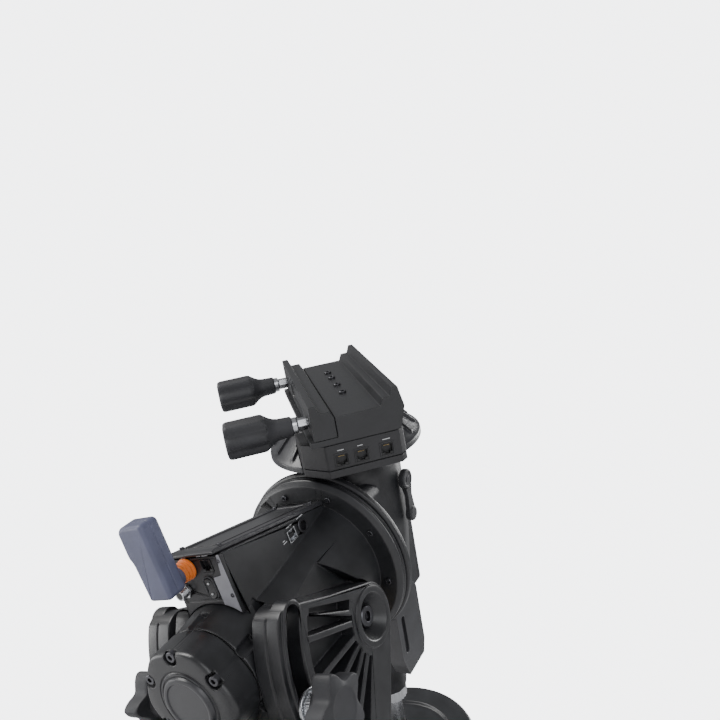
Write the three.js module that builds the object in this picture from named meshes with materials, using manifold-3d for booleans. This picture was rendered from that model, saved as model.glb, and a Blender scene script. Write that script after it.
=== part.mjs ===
// Equatorial mount head: a German equatorial mount for an eight-inch telescope, as a tree of separate
// castings, shafts, gears, knobs and covers. Millimetres, +Z up. The origin is the centre of the face that
// bolts to a tripod or pier, +Y points to the celestial pole's side (north) and +X to the east.
import * as THREE from "three";
import { mergeVertices } from "three/addons/utils/BufferGeometryUtils.js";
import Module from "manifold-3d";

const wasm = await Module();
wasm.setup();

// ---- Driving dimensions ----
const GAP = 0.3; // between pieces that touch
const DEG = Math.PI / 180;

// Attitude at rest
const LATITUDE = 38; // tilt of the polar axis above the horizon
const HOUR_ANGLE = 12.4; // turn of the declination housing about the polar axis
const DECLINATION = 40.7; // turn of the saddle about the declination axis
const LATITUDE_RANGE = [3, 65];

// Base and yoke
const BASE_RADIUS = 75;
const BASE_HEIGHT = 22;
const PEG_Y = 66; // azimuth peg's distance north of the azimuth axis
const PUSH_Z = 31; // height at which the azimuth screws push on the peg
const FLOOR_Z = [24.3, 36.3];
const ARM_X = [45, 70]; // inner and outer face of a fork arm
const PIVOT_Y = 47; // latitude axis, from the azimuth axis
const PIVOT_Z = 200; // latitude axis, above the base face
const ARM_ARC = 122; // radius of the arm's rear edge about the pivot
const SLOT_RADIUS = 107; // radius of the latitude lock slot about the pivot
const SLOT_HALF = 7; // half of the slot's width
const SECTOR_RADIUS = 145; // altitude gear sector
const WORM_DROP = 153; // altitude worm's axis below the pivot

// Polar (right ascension) axis, in the tilting housing's frame: Y along the axis, Z away from it
const RA_HEIGHT = 30; // polar axis above the latitude axis
const RING_Y = [44, 54]; // rim ring at the front of the polar housing
const RING_RADIUS = 83.6;
const REAR_Y = -118; // end of the polar housing casting
const COVER_Y = -145; // face of the lobed end cover
const WHEEL_RADIUS = 44; // polar worm wheel
const DEC_WHEEL_RADIUS = 38; // declination worm wheel
const DEC_ALONG = 125.6; // declination axis, along the polar axis from the latitude axis

// Declination axis, in its own frame: Z along the axis towards the saddle, Y along the polar axis
const SADDLE_V = [-87, 100]; // saddle's ends along the telescope
const CLAMP_V = [-64, 81.5]; // clamp knobs along the telescope
const CLAMP_W = 140; // clamp screws' height on the declination axis
const BAR_RADIUS = 9.5;
const BAR_END = -505;
const WEIGHT_W = [-342, -282]; // counterweight's faces on the declination axis
const WEIGHT_RADIUS = 86;

// ---- Finishes ----
const BLACK_CAST = { color: 0x2b2c30, roughness: 0.62, metalness: 0.25 };
const GREY_CAST = { color: 0x4a4b50, roughness: 0.55, metalness: 0.3 };
const LID_GREY = { color: 0x8b8c90, roughness: 0.5, metalness: 0.2 };
const KNOB_BLACK = { color: 0x3a3b3f, roughness: 0.8, metalness: 0 };
const PLASTIC_BLACK = { color: 0x232427, roughness: 0.55, metalness: 0 };
const STEEL = { color: 0xb9bbbf, roughness: 0.25, metalness: 1 };
const BRASS = { color: 0xb5914a, roughness: 0.35, metalness: 1 };
const ALUMINIUM = { color: 0x9fa1a6, roughness: 0.35, metalness: 0.9 };
const RUBBER = { color: 0x17181a, roughness: 0.9, metalness: 0 };
const MODULE_BLUE = { color: 0x5a5c73, roughness: 0.5, metalness: 0 };
const MODULE_ORANGE = { color: 0xdf7a2c, roughness: 0.6, metalness: 0 };
const BOARD_GREEN = { color: 0x1f5a3a, roughness: 0.6, metalness: 0 };

// ---- Solids from three.js geometries ----
const flip = (index) => {
  for (let i = 0; i < index.length; i += 3) [index[i + 1], index[i + 2]] = [index[i + 2], index[i + 1]];
};

function signedVolume(position, index) {
  const [a, b, c] = [new THREE.Vector3(), new THREE.Vector3(), new THREE.Vector3()];
  let sum = 0;
  for (let i = 0; i < index.length; i += 3) {
    a.fromBufferAttribute(position, index[i]);
    b.fromBufferAttribute(position, index[i + 1]);
    c.fromBufferAttribute(position, index[i + 2]);
    sum += a.dot(b.cross(c)) / 6;
  }
  return sum;
}

// A closed geometry as a solid facing outwards, ready to be joined or cut.
function solid(geometry) {
  const bare = geometry.clone();
  bare.deleteAttribute("normal");
  bare.deleteAttribute("uv");
  const merged = mergeVertices(bare, 1e-4);
  const index = [];
  for (let i = 0; i < merged.index.count; i += 3) {
    const [a, b, c] = [merged.index.getX(i), merged.index.getX(i + 1), merged.index.getX(i + 2)];
    if (a !== b && b !== c && a !== c) index.push(a, b, c);
  }
  if (signedVolume(merged.attributes.position, index) < 0) flip(index);
  return new wasm.Manifold(
    new wasm.Mesh({
      numProp: 3,
      vertProperties: merged.attributes.position.array,
      triVerts: new Uint32Array(index),
    }),
  );
}

const join = (first, ...others) => others.reduce((sum, next) => sum.add(next), first);
const cut = (first, ...others) => others.reduce((rest, next) => rest.subtract(next), first);

function block([x0, x1], [y0, y1], [z0, z1]) {
  const box = new THREE.BoxGeometry(x1 - x0, y1 - y0, z1 - z0);
  return solid(box.translate((x0 + x1) / 2, (y0 + y1) / 2, (z0 + z1) / 2));
}

// Turns a geometry made along Y so that it runs along the named axis, then moves it sideways to a centre
// given as the two other coordinates in X, Y, Z order.
function alongAxis(geometry, axis, [p, q]) {
  if (axis === "x") return geometry.rotateZ(-Math.PI / 2).translate(0, p, q);
  if (axis === "z") return geometry.rotateX(Math.PI / 2).translate(p, q, 0);
  return geometry.translate(p, 0, q);
}

function cylinder(axis, radius, [from, to], centre = [0, 0], sides = 16, endRadius = radius) {
  const shape = new THREE.CylinderGeometry(endRadius, radius, to - from, sides);
  return solid(alongAxis(shape.translate(0, (from + to) / 2, 0), axis, centre));
}

// A profile of [radius, place along the axis] points, turned about that axis.
function turned(axis, profile, centre = [0, 0], sides = 24) {
  const points = profile.map(([radius, along]) => new THREE.Vector2(radius, along));
  return solid(alongAxis(new THREE.LatheGeometry(points, sides), axis, centre));
}

const ring = (axis, outer, inner, [from, to], centre = [0, 0], sides = 24) =>
  cut(
    cylinder(axis, outer, [from, to], centre, sides),
    cylinder(axis, inner, [from - 1, to + 1], centre, sides),
  );

// A flat outline pushed through a thickness. The outline's points are [Y, Z] for a slab across X,
// [X, Z] for one across Y and [X, Y] for one across Z.
function slab(axis, points, [from, to]) {
  const shape = new THREE.Shape(points.map(([p, q]) => new THREE.Vector2(p, q)));
  const flat = new THREE.ExtrudeGeometry(shape, { depth: to - from, bevelEnabled: false });
  if (axis === "z") return solid(flat.translate(0, 0, from));
  if (axis === "y") return solid(flat.rotateX(Math.PI / 2).translate(0, to, 0));
  const turn = new THREE.Matrix4().set(0, 0, 1, from, 1, 0, 0, 0, 0, 1, 0, 0, 0, 0, 0, 1);
  return solid(flat.applyMatrix4(turn));
}

// Points along an arc, angles in degrees.
function arc(radius, start, end, steps, [cx, cy] = [0, 0]) {
  return Array.from({ length: steps + 1 }, (_, i) => {
    const angle = (start + ((end - start) * i) / steps) * DEG;
    return [cx + radius * Math.cos(angle), cy + radius * Math.sin(angle)];
  });
}

// A rectangle with rounded corners.
function rounded([x0, x1], [y0, y1], radius, steps = 3) {
  return [
    ...arc(radius, 0, 90, steps, [x1 - radius, y1 - radius]),
    ...arc(radius, 90, 180, steps, [x0 + radius, y1 - radius]),
    ...arc(radius, 180, 270, steps, [x0 + radius, y0 + radius]),
    ...arc(radius, 270, 360, steps, [x1 - radius, y0 + radius]),
  ];
}

// The outline of a band around part of a circle, with flat ends.
const band = (inner, outer, start, end, steps) => [
  ...arc(outer, start, end, steps),
  ...arc(inner, end, start, steps),
];

// A ring of equal round pads: the outline of a lobed knob or cover as one joined solid.
function lobed(axis, core, padRadius, padCircle, count, phase, span, centre = [0, 0], sides = 8) {
  const pads = arc(padCircle, phase, phase + 360 - 360 / count, count - 1, centre);
  return join(
    cylinder(axis, core, span, centre, 18),
    ...pads.map((pad) => cylinder(axis, padRadius, span, pad, sides)),
  );
}

// Belt around two pulleys: the outside of the loop less the inside of it.
function beltLoop(first, second, thickness, [from, to]) {
  const loop = (extra) => {
    const [a, b] = [first, second];
    const heading = Math.atan2(b.at[1] - a.at[1], b.at[0] - a.at[0]) / DEG;
    const distance = Math.hypot(b.at[0] - a.at[0], b.at[1] - a.at[1]);
    const lean = Math.asin((a.radius - b.radius) / distance) / DEG;
    return [
      ...arc(b.radius + extra, heading - 90 + lean, heading + 90 - lean, 8, b.at),
      ...arc(a.radius + extra, heading + 90 - lean, heading + 270 + lean, 10, a.at),
    ];
  };
  return cut(slab("x", loop(thickness), [from, to]), slab("x", loop(0), [from - 1, to + 1]));
}

// ---- Scene graph ----
const mount = new THREE.Group();
const yoke = new THREE.Group();
const tilt = new THREE.Group(); // the polar housing's frame, on the latitude axis
tilt.position.set(0, PIVOT_Y, PIVOT_Z);
tilt.rotation.x = LATITUDE * DEG;
const hour = new THREE.Group(); // the declination housing's frame, on the polar axis
hour.position.set(0, DEC_ALONG, RA_HEIGHT);
hour.rotation.y = HOUR_ANGLE * DEG;
const head = new THREE.Group(); // the saddle's frame, on the declination axis
head.rotation.z = DECLINATION * DEG;
mount.add(yoke);
yoke.add(tilt);
tilt.add(hour);
hour.add(head);

function add(parent, name, made, finish) {
  const { vertProperties, triVerts, numProp } = made.getMesh();
  const position = [];
  for (let i = 0; i < vertProperties.length; i += numProp) position.push(...vertProperties.subarray(i, i + 3));
  const geometry = new THREE.BufferGeometry();
  geometry.setAttribute("position", new THREE.Float32BufferAttribute(position, 3));
  geometry.setIndex(new THREE.BufferAttribute(new Uint32Array(triVerts), 1));
  geometry.computeVertexNormals();
  const mesh = new THREE.Mesh(geometry, new THREE.MeshStandardMaterial(finish));
  mesh.name = name;
  parent.add(mesh);
}

// ---- Base: the disc that bolts to a tripod, its axle and the azimuth peg ----
function addBase() {
  const disc = turned("z", [
    [0, 0],
    [BASE_RADIUS - 3, 0],
    [BASE_RADIUS, 3],
    [BASE_RADIUS, BASE_HEIGHT - 2],
    [BASE_RADIUS - 2, BASE_HEIGHT],
    [0, BASE_HEIGHT],
  ], [0, 0], 30);
  const boltHoles = arc(52, 30, 270, 2).map((at) => cylinder("z", 4, [-1, 14], at, 12));
  const pegPocket = cylinder("z", 7 + GAP, [BASE_HEIGHT - 10, BASE_HEIGHT + 1], [0, PEG_Y], 20);
  const axle = cylinder("z", 12, [BASE_HEIGHT - 1, 34]);
  add(mount, "base_disc", join(cut(disc, ...boltHoles, pegPocket), axle), BLACK_CAST);
  add(mount, "azimuth_peg", cylinder("z", 7, [BASE_HEIGHT - 10 + GAP, 38], [0, PEG_Y], 20), STEEL);
}

// ---- Yoke: floor, two fork arms, pivot pins and level ----
const floorBottom = FLOOR_Z[0] - PIVOT_Z; // arm outlines are drawn about the pivot
const wormCradle = (from, to) =>
  cut(
    block([-13, 13], [from, to], [FLOOR_Z[1] - 1, PIVOT_Z - WORM_DROP + 8.5]),
    cylinder("y", 5 + GAP, [from - 1, to + 1], [0, PIVOT_Z - WORM_DROP], 20),
  );

function addFloor() {
  const plate = slab("z", rounded([-ARM_X[0] + GAP, ARM_X[0] - GAP], [-76, 52], 4), FLOOR_Z);
  const rearCradle = wormCradle(PIVOT_Y - 42, PIVOT_Y - 32);
  const outerCradle = wormCradle(PIVOT_Y - 122, PIVOT_Y - 112);
  const bore = cylinder("z", 12 + GAP, [FLOOR_Z[0] - 1, FLOOR_Z[1] + 1]);
  const floor = cut(join(plate, rearCradle, outerCradle), bore);
  add(yoke, "yoke_floor", floor, BLACK_CAST);
  const under = FLOOR_Z[1] + GAP;
  const vial = turned("z", [[0, under], [9, under], [9, 43], [7, 45], [0, 45]], [-30, -40], 20);
  add(yoke, "bubble_level", vial, ALUMINIUM);
}

const ARM_OUTLINE = [
  [28, floorBottom],
  [28, 0],
  ...arc(28, 15, 100, 4),
  [-60, 12.5],
  ...arc(16, 82, 172, 4, [-105.5, -13]),
  ...arc(ARM_ARC, 188, 225, 7),
  [-98, -128],
  [-118, -150],
  [-118, floorBottom],
];

// An arm's features sit on its outer face, so side (+1 east, -1 west) mirrors every depth.
function arm(side) {
  const span = (a, b) => [Math.min(side * a, side * b), Math.max(side * a, side * b)];
  const [inner, outer] = ARM_X;
  const plate = (points, from, to) => slab("x", points, span(from, to));
  const slotSpan = [LATITUDE_RANGE[0] + 176, LATITUDE_RANGE[1] + 183];
  const slot = band(SLOT_RADIUS - SLOT_HALF, SLOT_RADIUS + SLOT_HALF, ...slotSpan, 12);
  const rim = band(SLOT_RADIUS - 10.5, SLOT_RADIUS + 10.5, slotSpan[0] - 1.5, slotSpan[1] + 1.5, 12);
  const pocket = plate(band(31, 88, 183, 268, 8), outer - 13, outer + 5);
  const upperPocket = plate([[-34, 3], [-34, 11], [-86, 1], [-86, -4]], outer - 13, outer + 5);
  const ribs = [196, 210, 222, 234, 246, 258].map((angle) =>
    plate(ribOutline(28, 92, angle, 4), outer - 14, outer),
  );
  const foot = plate(rounded([-100, 16], [floorBottom + 8, -124], 6), outer - 13, outer + 5);
  const footRib = plate([[-46, floorBottom], [-40, floorBottom], [-40, -112], [-46, -112]], outer - 14, outer);
  const boss = cylinder("x", 25, span(outer - 1, outer + 1.5), [0, 0], 24);
  const cup = turned("x", [[0, side * 58], [9.5, side * 58], [20, side * 72], [0, side * 72]], [0, 0], 28);
  const pinBore = cylinder("x", 8 + GAP, span(inner - 1, 60), [0, 0], 24);
  const screwBore = cylinder("x", 4 + GAP, span(inner - 1, outer + 2), [PEG_Y - PIVOT_Y, PUSH_Z - PIVOT_Z], 16);
  const webbed = cut(plate(ARM_OUTLINE, inner, outer), cut(pocket, ...ribs), upperPocket, cut(foot, footRib));
  const rimmed = join(webbed, plate(rim, outer - 12, outer + 2), boss);
  return cut(rimmed, plate(slot, inner - 1, outer + 5), cup, pinBore, screwBore);
}

// A straight rib of the given width, from one radius to another at an angle.
function ribOutline(from, to, angle, width) {
  const [c, s] = [Math.cos(angle * DEG), Math.sin(angle * DEG)];
  const corner = (along, across) => [along * c - across * s, along * s + across * c];
  return [corner(from, -width / 2), corner(to, -width / 2), corner(to, width / 2), corner(from, width / 2)];
}

function addArms() {
  const pivot = new THREE.Group();
  pivot.position.set(0, PIVOT_Y, PIVOT_Z);
  yoke.add(pivot);
  for (const [name, side] of [["left", -1], ["right", 1]]) {
    add(pivot, "fork_arm_" + name, arm(side), BLACK_CAST);
    const pin = turned("x", [
      [0, side * 29],
      [8, side * 29],
      [8, side * (58 + GAP)],
      [9, side * (58 + GAP)],
      [9, side * 65],
      [4, side * 65],
      [4, side * 62],
      [0, side * 62],
    ], [0, 0], 20);
    add(pivot, "pivot_pin_" + name, pin, STEEL);
  }
}

// ---- Azimuth screws: smooth rods that push on the peg, with their knobs ----
function addAzimuthScrews() {
  for (const [name, side] of [["left", -1], ["right", 1]]) {
    const span = (a, b) => [Math.min(side * a, side * b), Math.max(side * a, side * b)];
    const centre = [PEG_Y, PUSH_Z];
    add(yoke, "azimuth_screw_" + name, cylinder("x", 4, span(7.6, 84), centre, 16), STEEL);
    const grip = lobed("x", 13, 3.6, 13, 7, 0, span(86, 103), centre, 6);
    const neck = cylinder("x", 8, span(80.5, 86.5), centre, 20);
    const socket = cylinder("x", 4 + GAP, span(80, 84 + GAP), centre, 16);
    add(yoke, "azimuth_knob_" + name, cut(join(grip, neck), socket), KNOB_BLACK);
  }
}

// ---- Altitude drive: worm under the pivot, shaft to the rear and a crank ----
function addAltitudeDrive() {
  const centre = [0, PIVOT_Z - WORM_DROP];
  const shaft = cylinder("y", 5, [PIVOT_Y - 150, PIVOT_Y - 17], centre, 20);
  const worm = cylinder("y", 6.6, [PIVOT_Y - 18, PIVOT_Y + 13], centre, 20);
  add(yoke, "altitude_worm", join(shaft, worm), STEEL);
  const [back, front] = [PIVOT_Y - 146, PIVOT_Y - 136];
  const hub = cylinder("y", 11, [back, front], centre, 24);
  const lever = slab("y", rounded([-6, 6], [centre[1], centre[1] + 42], 5.9), [back + 2, front - 2]);
  const bore = cylinder("y", 5 + GAP, [back - 1, front + 1], centre, 20);
  const grip = turned("y", [
    [0, back - 34],
    [7, back - 34],
    [8.5, back - 29],
    [6.5, back - 8],
    [6.5, back - 1],
    [3, back - 1],
    [3, front - 3],
    [0, front - 3],
  ], [0, centre[1] + 36], 20);
  add(yoke, "altitude_crank", cut(join(hub, lever, grip), bore), BLACK_CAST);
}

// ---- Polar housing: tilts on the pivots and carries the polar axis ----
const lidZ = (y) => RA_HEIGHT + 62 + (45 - y) * (31 / 137); // top of the electronics hump
const HUMP_Y = [-88, 45];
const POWER_AT = [-19.5, 91]; // power connector on the rear panel, X and Z
const NECK_AT = [-8.5, 109.5]; // wireless module's plug on the rear panel

// The housing's turned body and rim ring, larger all round by the given amount.
const polarBody = (grow) =>
  turned("y", [
    [0, REAR_Y - grow],
    [44 + grow, REAR_Y - grow],
    [47 + grow, -90],
    [50 + grow, -50],
    [54 + grow, -15],
    [59 + grow, 20],
    [62.3 + grow, 40],
    [62.3 + grow, RING_Y[0] - grow],
    [78.7 + grow, RING_Y[0] - grow],
    [RING_RADIUS + grow, RING_Y[0] + 3.5 - grow],
    [RING_RADIUS + grow, RING_Y[1] + grow],
    [0, RING_Y[1] + grow],
  ], [0, RA_HEIGHT], 36);

function addPolarHousing() {
  const centre = [0, RA_HEIGHT];
  const body = polarBody(0);
  const cheek = slab("x", [
    [18, 21],
    [27, 5],
    [27, -10],
    [10, -30],
    [-92, -30],
    [-117, -14],
    [-117, 16],
    [-96, 40],
    [0, 40],
  ], [-43.5, 43.5]);
  const humpSide = [
    [HUMP_Y[0], 58],
    [HUMP_Y[1], 58],
    [HUMP_Y[1], lidZ(HUMP_Y[1]) - 4 - 2 * GAP],
    [HUMP_Y[0], lidZ(HUMP_Y[0]) - 4 - 2 * GAP],
  ];
  const hump = slab("x", humpSide, [-29, 29]);
  // What the fork arms sweep as the latitude goes from one limit to the other
  const top = (t) => [21.8 - 0.616 * t, 17 + 0.788 * t];
  const swept = [[30.5, 0], top(0), top(250), [-200, 213], [-200, -200], [30.5, -200]];
  const armRoom = [-1, 1].flatMap((side) => {
    const span = side > 0 ? [ARM_X[0] - 0.8, 95] : [-95, 0.8 - ARM_X[0]];
    return [slab("x", swept, span), cylinder("x", 30.5, span, [0, 0], 24)];
  });
  const outer = cut(join(body, cheek, hump), ...armRoom);
  const inner = join(
    turned("y", [[0, REAR_Y - 1], [37, REAR_Y - 1], [38, -74], [0, -74]], centre, 24),
    cylinder("y", 27 + GAP, [-75, -54], centre, 24),
    cylinder("y", 38, [-55, 26], centre, 24),
    cylinder("y", WHEEL_RADIUS + 3, [25.9, 45], centre, 24),
    cylinder("y", 31 + GAP, [44.9, RING_Y[1] + 1], centre, 28),
    slab("x", [
      [HUMP_Y[0] - 1, 70.5],
      [44.4, 70.5],
      [44.4, lidZ(44)],
      [HUMP_Y[0] - 1, lidZ(HUMP_Y[0])],
    ], [-25, 25]),
  );
  const pinBores = cylinder("x", 8 + GAP, [-60, 60], [0, 0], 24);
  const lockBores = cylinder("x", 5 + GAP, [-60, 60], [-SLOT_RADIUS, 0], 16);
  const usbHole = block([20, 40], [-16, -4], [82, 93]);
  const roundHole = cylinder("x", 4.5, [20, 40], [6, 87.5], 16);
  add(tilt, "polar_housing", cut(outer, inner, pinBores, lockBores, usbHole, roundHole), BLACK_CAST);
}

function addPolarCovers() {
  const centre = [0, RA_HEIGHT];
  const shell = lobed("y", 40, 8.5, 36, 6, 30, [COVER_Y + 2, REAR_Y - GAP], centre);
  const face = lobed("y", 38.5, 7, 36, 6, 30, [COVER_Y, COVER_Y + 2.1], centre);
  const capFace = COVER_Y - 2.5;
  const cap = turned("y", [[0, capFace], [22, capFace], [24, COVER_Y + 0.5], [0, COVER_Y + 0.5]], centre, 28);
  const hollow = cylinder("y", 35, [COVER_Y + 5, REAR_Y + 1], centre, 24);
  const sinkSpan = [COVER_Y - 1, COVER_Y + 4];
  const screwSinks = arc(36, 30, 330, 5, centre).map((at) => cylinder("y", 4.6, sinkSpan, at, 12));
  add(tilt, "polar_end_cover", cut(join(shell, face, cap), hollow, ...screwSinks), BLACK_CAST);

  const lid = slab("x", [
    [HUMP_Y[0] - 6, lidZ(HUMP_Y[0] - 6) - 4],
    [HUMP_Y[1] - 1.5, lidZ(HUMP_Y[1]) - 4],
    [HUMP_Y[1] - 1.5, lidZ(HUMP_Y[1])],
    [HUMP_Y[0] - 1, lidZ(HUMP_Y[0])],
    [HUMP_Y[0] - 6, lidZ(HUMP_Y[0]) - 2],
  ], [-30, 30]);
  const edges = [-1, 1].map((side) =>
    slab("y", [[side * 31, 130], [side * 31, 80], [side * 30.2, 80], [side * 24, 130]], [-200, 100]),
  );
  add(tilt, "hump_lid", cut(lid, ...edges, polarBody(GAP)), LID_GREY);

  const [back, front] = [HUMP_Y[0] - 4, HUMP_Y[0] - GAP];
  const panel = slab("y", [
    [-29, 52],
    [29, 52],
    [29, lidZ(HUMP_Y[0]) - 5],
    [-29, lidZ(HUMP_Y[0]) - 5],
  ], [back, front]);
  const bodyRoom = cylinder("y", 47.6, [back - 1, front + 1], centre, 30);
  const moduleHole = block([-14, -3], [back - 1, front + 1], [104, 115]);
  const jackHole = block([6, 18], [back - 1, front + 1], [104.5, 115.5]);
  const powerHole = cylinder("y", 4.6 + GAP, [back - 1, front + 1], POWER_AT, 16);
  const switchHole = slab("y", rounded([3, 12], [82, 100], 4.4), [back - 1, front + 1]);
  add(tilt, "rear_panel", cut(panel, bodyRoom, moduleHole, jackHole, powerHole, switchHole), PLASTIC_BLACK);

  const barrel = cut(
    join(
      cylinder("y", 4.6, [back - 9, front + 6], POWER_AT, 16),
      cylinder("y", 6.4, [back - 3, back - GAP], POWER_AT, 6),
    ),
    cylinder("y", 3, [back - 10, back - 2], POWER_AT, 12),
  );
  add(tilt, "power_connector", barrel, STEEL);
  const rocker = slab("y", rounded([3.5, 11.5], [82.5, 99.5], 3.9), [back - 2, front - 1]);
  add(tilt, "power_switch", rocker, PLASTIC_BLACK);
  add(tilt, "control_board", block([-22, 22], [-80, -78.4], [74, 104]), BOARD_GREEN);
}

// Bearings, motor and belt of the polar axis, all fixed in the polar housing
const RA_WORM = { at: [36, RA_HEIGHT + WHEEL_RADIUS + 6.6], radius: 6.6 };
const RA_MOTOR = { at: [-20, 87.5], radius: 4.4 };
const PULLEY_X = [-22, -16];
const BELT_X = [PULLEY_X[0] + 0.5, PULLEY_X[1] - 0.5];
const BELT_THICKNESS = 1.2;

function addPolarDrive() {
  const centre = [0, RA_HEIGHT];
  add(tilt, "polar_bearing_front", ring("y", 31, 17 + GAP, [45 + GAP, RING_Y[1] - 1], centre), STEEL);
  add(tilt, "polar_bearing_rear", ring("y", 27, 17 + GAP, [-73, -56], centre), STEEL);
  const can = cylinder("x", 14, [-9, 23], RA_MOTOR.at, 24);
  add(tilt, "polar_motor", cut(can, cylinder("x", 3 + GAP, [-10, -3], RA_MOTOR.at, 12)), ALUMINIUM);
  add(tilt, "polar_motor_pulley", pulley(RA_MOTOR, -4), BRASS);
  add(tilt, "polar_worm", worm(RA_WORM), STEEL);
  add(tilt, "polar_belt", beltLoop(grown(RA_WORM), grown(RA_MOTOR), BELT_THICKNESS, BELT_X), RUBBER);
}

const grown = (wheel) => ({ at: wheel.at, radius: wheel.radius + GAP });
const pulley = (wheel, shaftEnd) => {
  const shaft = cylinder("x", 3, [PULLEY_X[1] - 1, shaftEnd], wheel.at, 12);
  return join(cylinder("x", wheel.radius, PULLEY_X, wheel.at, 20), shaft);
};
const worm = (wheel) => join(pulley(wheel, 20), cylinder("x", 6, [-12, 12], wheel.at, 20));

// Gear sector under the housing, which the altitude worm turns
function addAltitudeSector() {
  const reach = [270 - LATITUDE_RANGE[1] - 6, 270 - LATITUDE_RANGE[0] + 6];
  const outline = [...arc(SECTOR_RADIUS, reach[0], reach[1], 16), [10, -30 - GAP], [-92, -30 - GAP]];
  const light = [...arc(118, 212, 258, 8), [-24, -46], [-76, -46]];
  const plate = cut(slab("x", outline, [-6, 6]), slab("x", light, [-7, 7]));
  add(tilt, "altitude_sector", plate, BRASS);
}

// Lobed knobs that clamp the housing to the arms through the arc slots
function addLatitudeLocks() {
  for (const [name, side] of [["left", -1], ["right", 1]]) {
    const span = (a, b) => [Math.min(side * a, side * b), Math.max(side * a, side * b)];
    const at = [-SLOT_RADIUS, 0];
    const grip = lobed("x", 16, 8, 19, 5, 18, span(86, 104), at);
    const socket = cylinder("x", 5 + GAP, span(72, 98), at, 16);
    const hub = cylinder("x", 12, span(80.5, 86.5), at, 24);
    add(tilt, "lock_knob_" + name, cut(join(grip, hub), socket), KNOB_BLACK);
    const stud = join(
      cylinder("x", 5, span(34, 97), at, 16),
      cylinder("x", 13, span(ARM_X[1] + 2 + GAP, ARM_X[1] + 5), at, 28),
      cylinder("x", 10.5, span(ARM_X[1] + 4.9, 80.1), at, 24),
    );
    add(tilt, "lock_stud_" + name, stud, STEEL);
  }
}

// Plug-in wireless module standing on a ribbed neck
function addModule() {
  const plug = HUMP_Y[0] - 4 - GAP;
  const neck = turned("y", [
    [0, -82],
    [5, -82],
    [5, plug],
    [9, plug],
    [7, -106 + GAP],
    [0, -106 + GAP],
  ], NECK_AT, 20);
  add(tilt, "module_neck", neck, MODULE_ORANGE);
  const paddle = slab("y", [
    [-24, 104],
    [-20, 101],
    [-3, 101],
    [1, 105],
    [1, 160],
    [-3, 163],
    [-22, 163],
    [-27, 157],
    [-27, 138],
    [-25, 134],
  ], [-124, -106]);
  add(tilt, "wireless_module", paddle, MODULE_BLUE);
}

// ---- Declination housing: turns on the polar axis ----
const FLANGE_Y = RING_Y[1] + 0.6 - DEC_ALONG; // back face of the flange that meets the polar ring
const DEC_WORM = { at: [DEC_WHEEL_RADIUS + 6.6, 15], radius: 6.6 };
const DEC_MOTOR = { at: [42, -50], radius: 4.4 };

function addDeclinationHousing() {
  const column = turned("z", [
    [0, -205],
    [18, -205],
    [21, -186],
    [27, -170],
    [33, -140],
    [39, -100],
    [46, -40],
    [50, 0],
    [51, 66],
    [47, 76],
    [0, 76],
  ], [0, 0], 12);
  const neck = slab("y", rounded([-44, 44], [-60, 62], 14), [FLANGE_Y + 8, 0]);
  const flange = turned("y", [
    [0, FLANGE_Y],
    [83, FLANGE_Y],
    [86, FLANGE_Y + 2],
    [86, FLANGE_Y + 7],
    [70, FLANGE_Y + 14],
    [0, FLANGE_Y + 24],
  ], [0, 0], 30);
  const wormBox = slab("y", rounded([-38, 26], [-108, 30], 7), [18, 58]);
  const chamber = slab("y", rounded([-33, 21], [-103, 25], 4), [14, 60]);
  const cavity = join(
    cylinder("z", 26 + GAP, [42, 77], [0, 0], 30),
    cylinder("z", DEC_WHEEL_RADIUS + 3, [-8, 42.1], [0, 0], 30),
    cylinder("z", 28, [-46, -7.9], [0, 0], 24),
    cylinder("z", 22 + GAP, [-58.5, -45.9], [0, 0], 24),
  );
  const barSocket = cylinder("z", BAR_RADIUS + GAP, [-206, -160], [0, 0], 24);
  const housing = cut(join(column, neck, flange, wormBox), cavity, chamber, barSocket);
  add(hour, "declination_housing", housing, BLACK_CAST);

  const cover = join(
    slab("y", rounded([-38, 26], [-108, 30], 7), [58 + GAP, 63]),
    slab("y", rounded([-34, 22], [-104, 26], 6), [62.9, 66]),
  );
  add(hour, "declination_drive_cover", cover, GREY_CAST);
}

function addDeclinationDrive() {
  add(hour, "declination_bearing_top", ring("z", 26, 15 + GAP, [43, 58]), STEEL);
  add(hour, "declination_bearing_bottom", ring("z", 22, 15 + GAP, [-58, -47]), STEEL);
  const can = cylinder("x", 13, [-11, 19], DEC_MOTOR.at, 24);
  add(hour, "declination_motor", cut(can, cylinder("x", 3 + GAP, [-12, -5], DEC_MOTOR.at, 12)), ALUMINIUM);
  add(hour, "declination_motor_pulley", pulley(DEC_MOTOR, -6), BRASS);
  add(hour, "declination_worm", worm(DEC_WORM), STEEL);
  add(hour, "declination_belt", beltLoop(grown(DEC_WORM), grown(DEC_MOTOR), BELT_THICKNESS, BELT_X), RUBBER);
}

// The polar shaft and its worm wheel are fixed to the declination housing and turn with it
function addPolarShaft() {
  const end = -98 - DEC_ALONG;
  const sightHole = cylinder("y", 8, [end - 1, end + 60], [0, 0], 20);
  add(hour, "polar_shaft", cut(cylinder("y", 17, [end, FLANGE_Y - GAP], [0, 0], 28), sightHole), STEEL);
  const wheel = ring("y", WHEEL_RADIUS, 17 + GAP, [30 - DEC_ALONG, 42 - DEC_ALONG], [0, 0], 30);
  add(hour, "polar_worm_wheel", wheel, BRASS);
}

function addClutchLevers() {
  const lever = (y, z, side) => {
    const span = (a, b) => [Math.min(side * a, side * b), Math.max(side * a, side * b)];
    return join(
      cylinder("x", 10, span(51.5, 58), [y, z], 24),
      slab("x", rounded([y - 5.5, y + 5.5], [z - 40, z], 5.4), span(53, 57)),
      cylinder("x", 7.5, span(52, 59), [y, z - 38], 20),
    );
  };
  add(hour, "declination_clutch_lever", lever(10, 46, 1), KNOB_BLACK);
  add(hour, "polar_clutch_lever", lever(-22, 46, -1), KNOB_BLACK);
}

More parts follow.
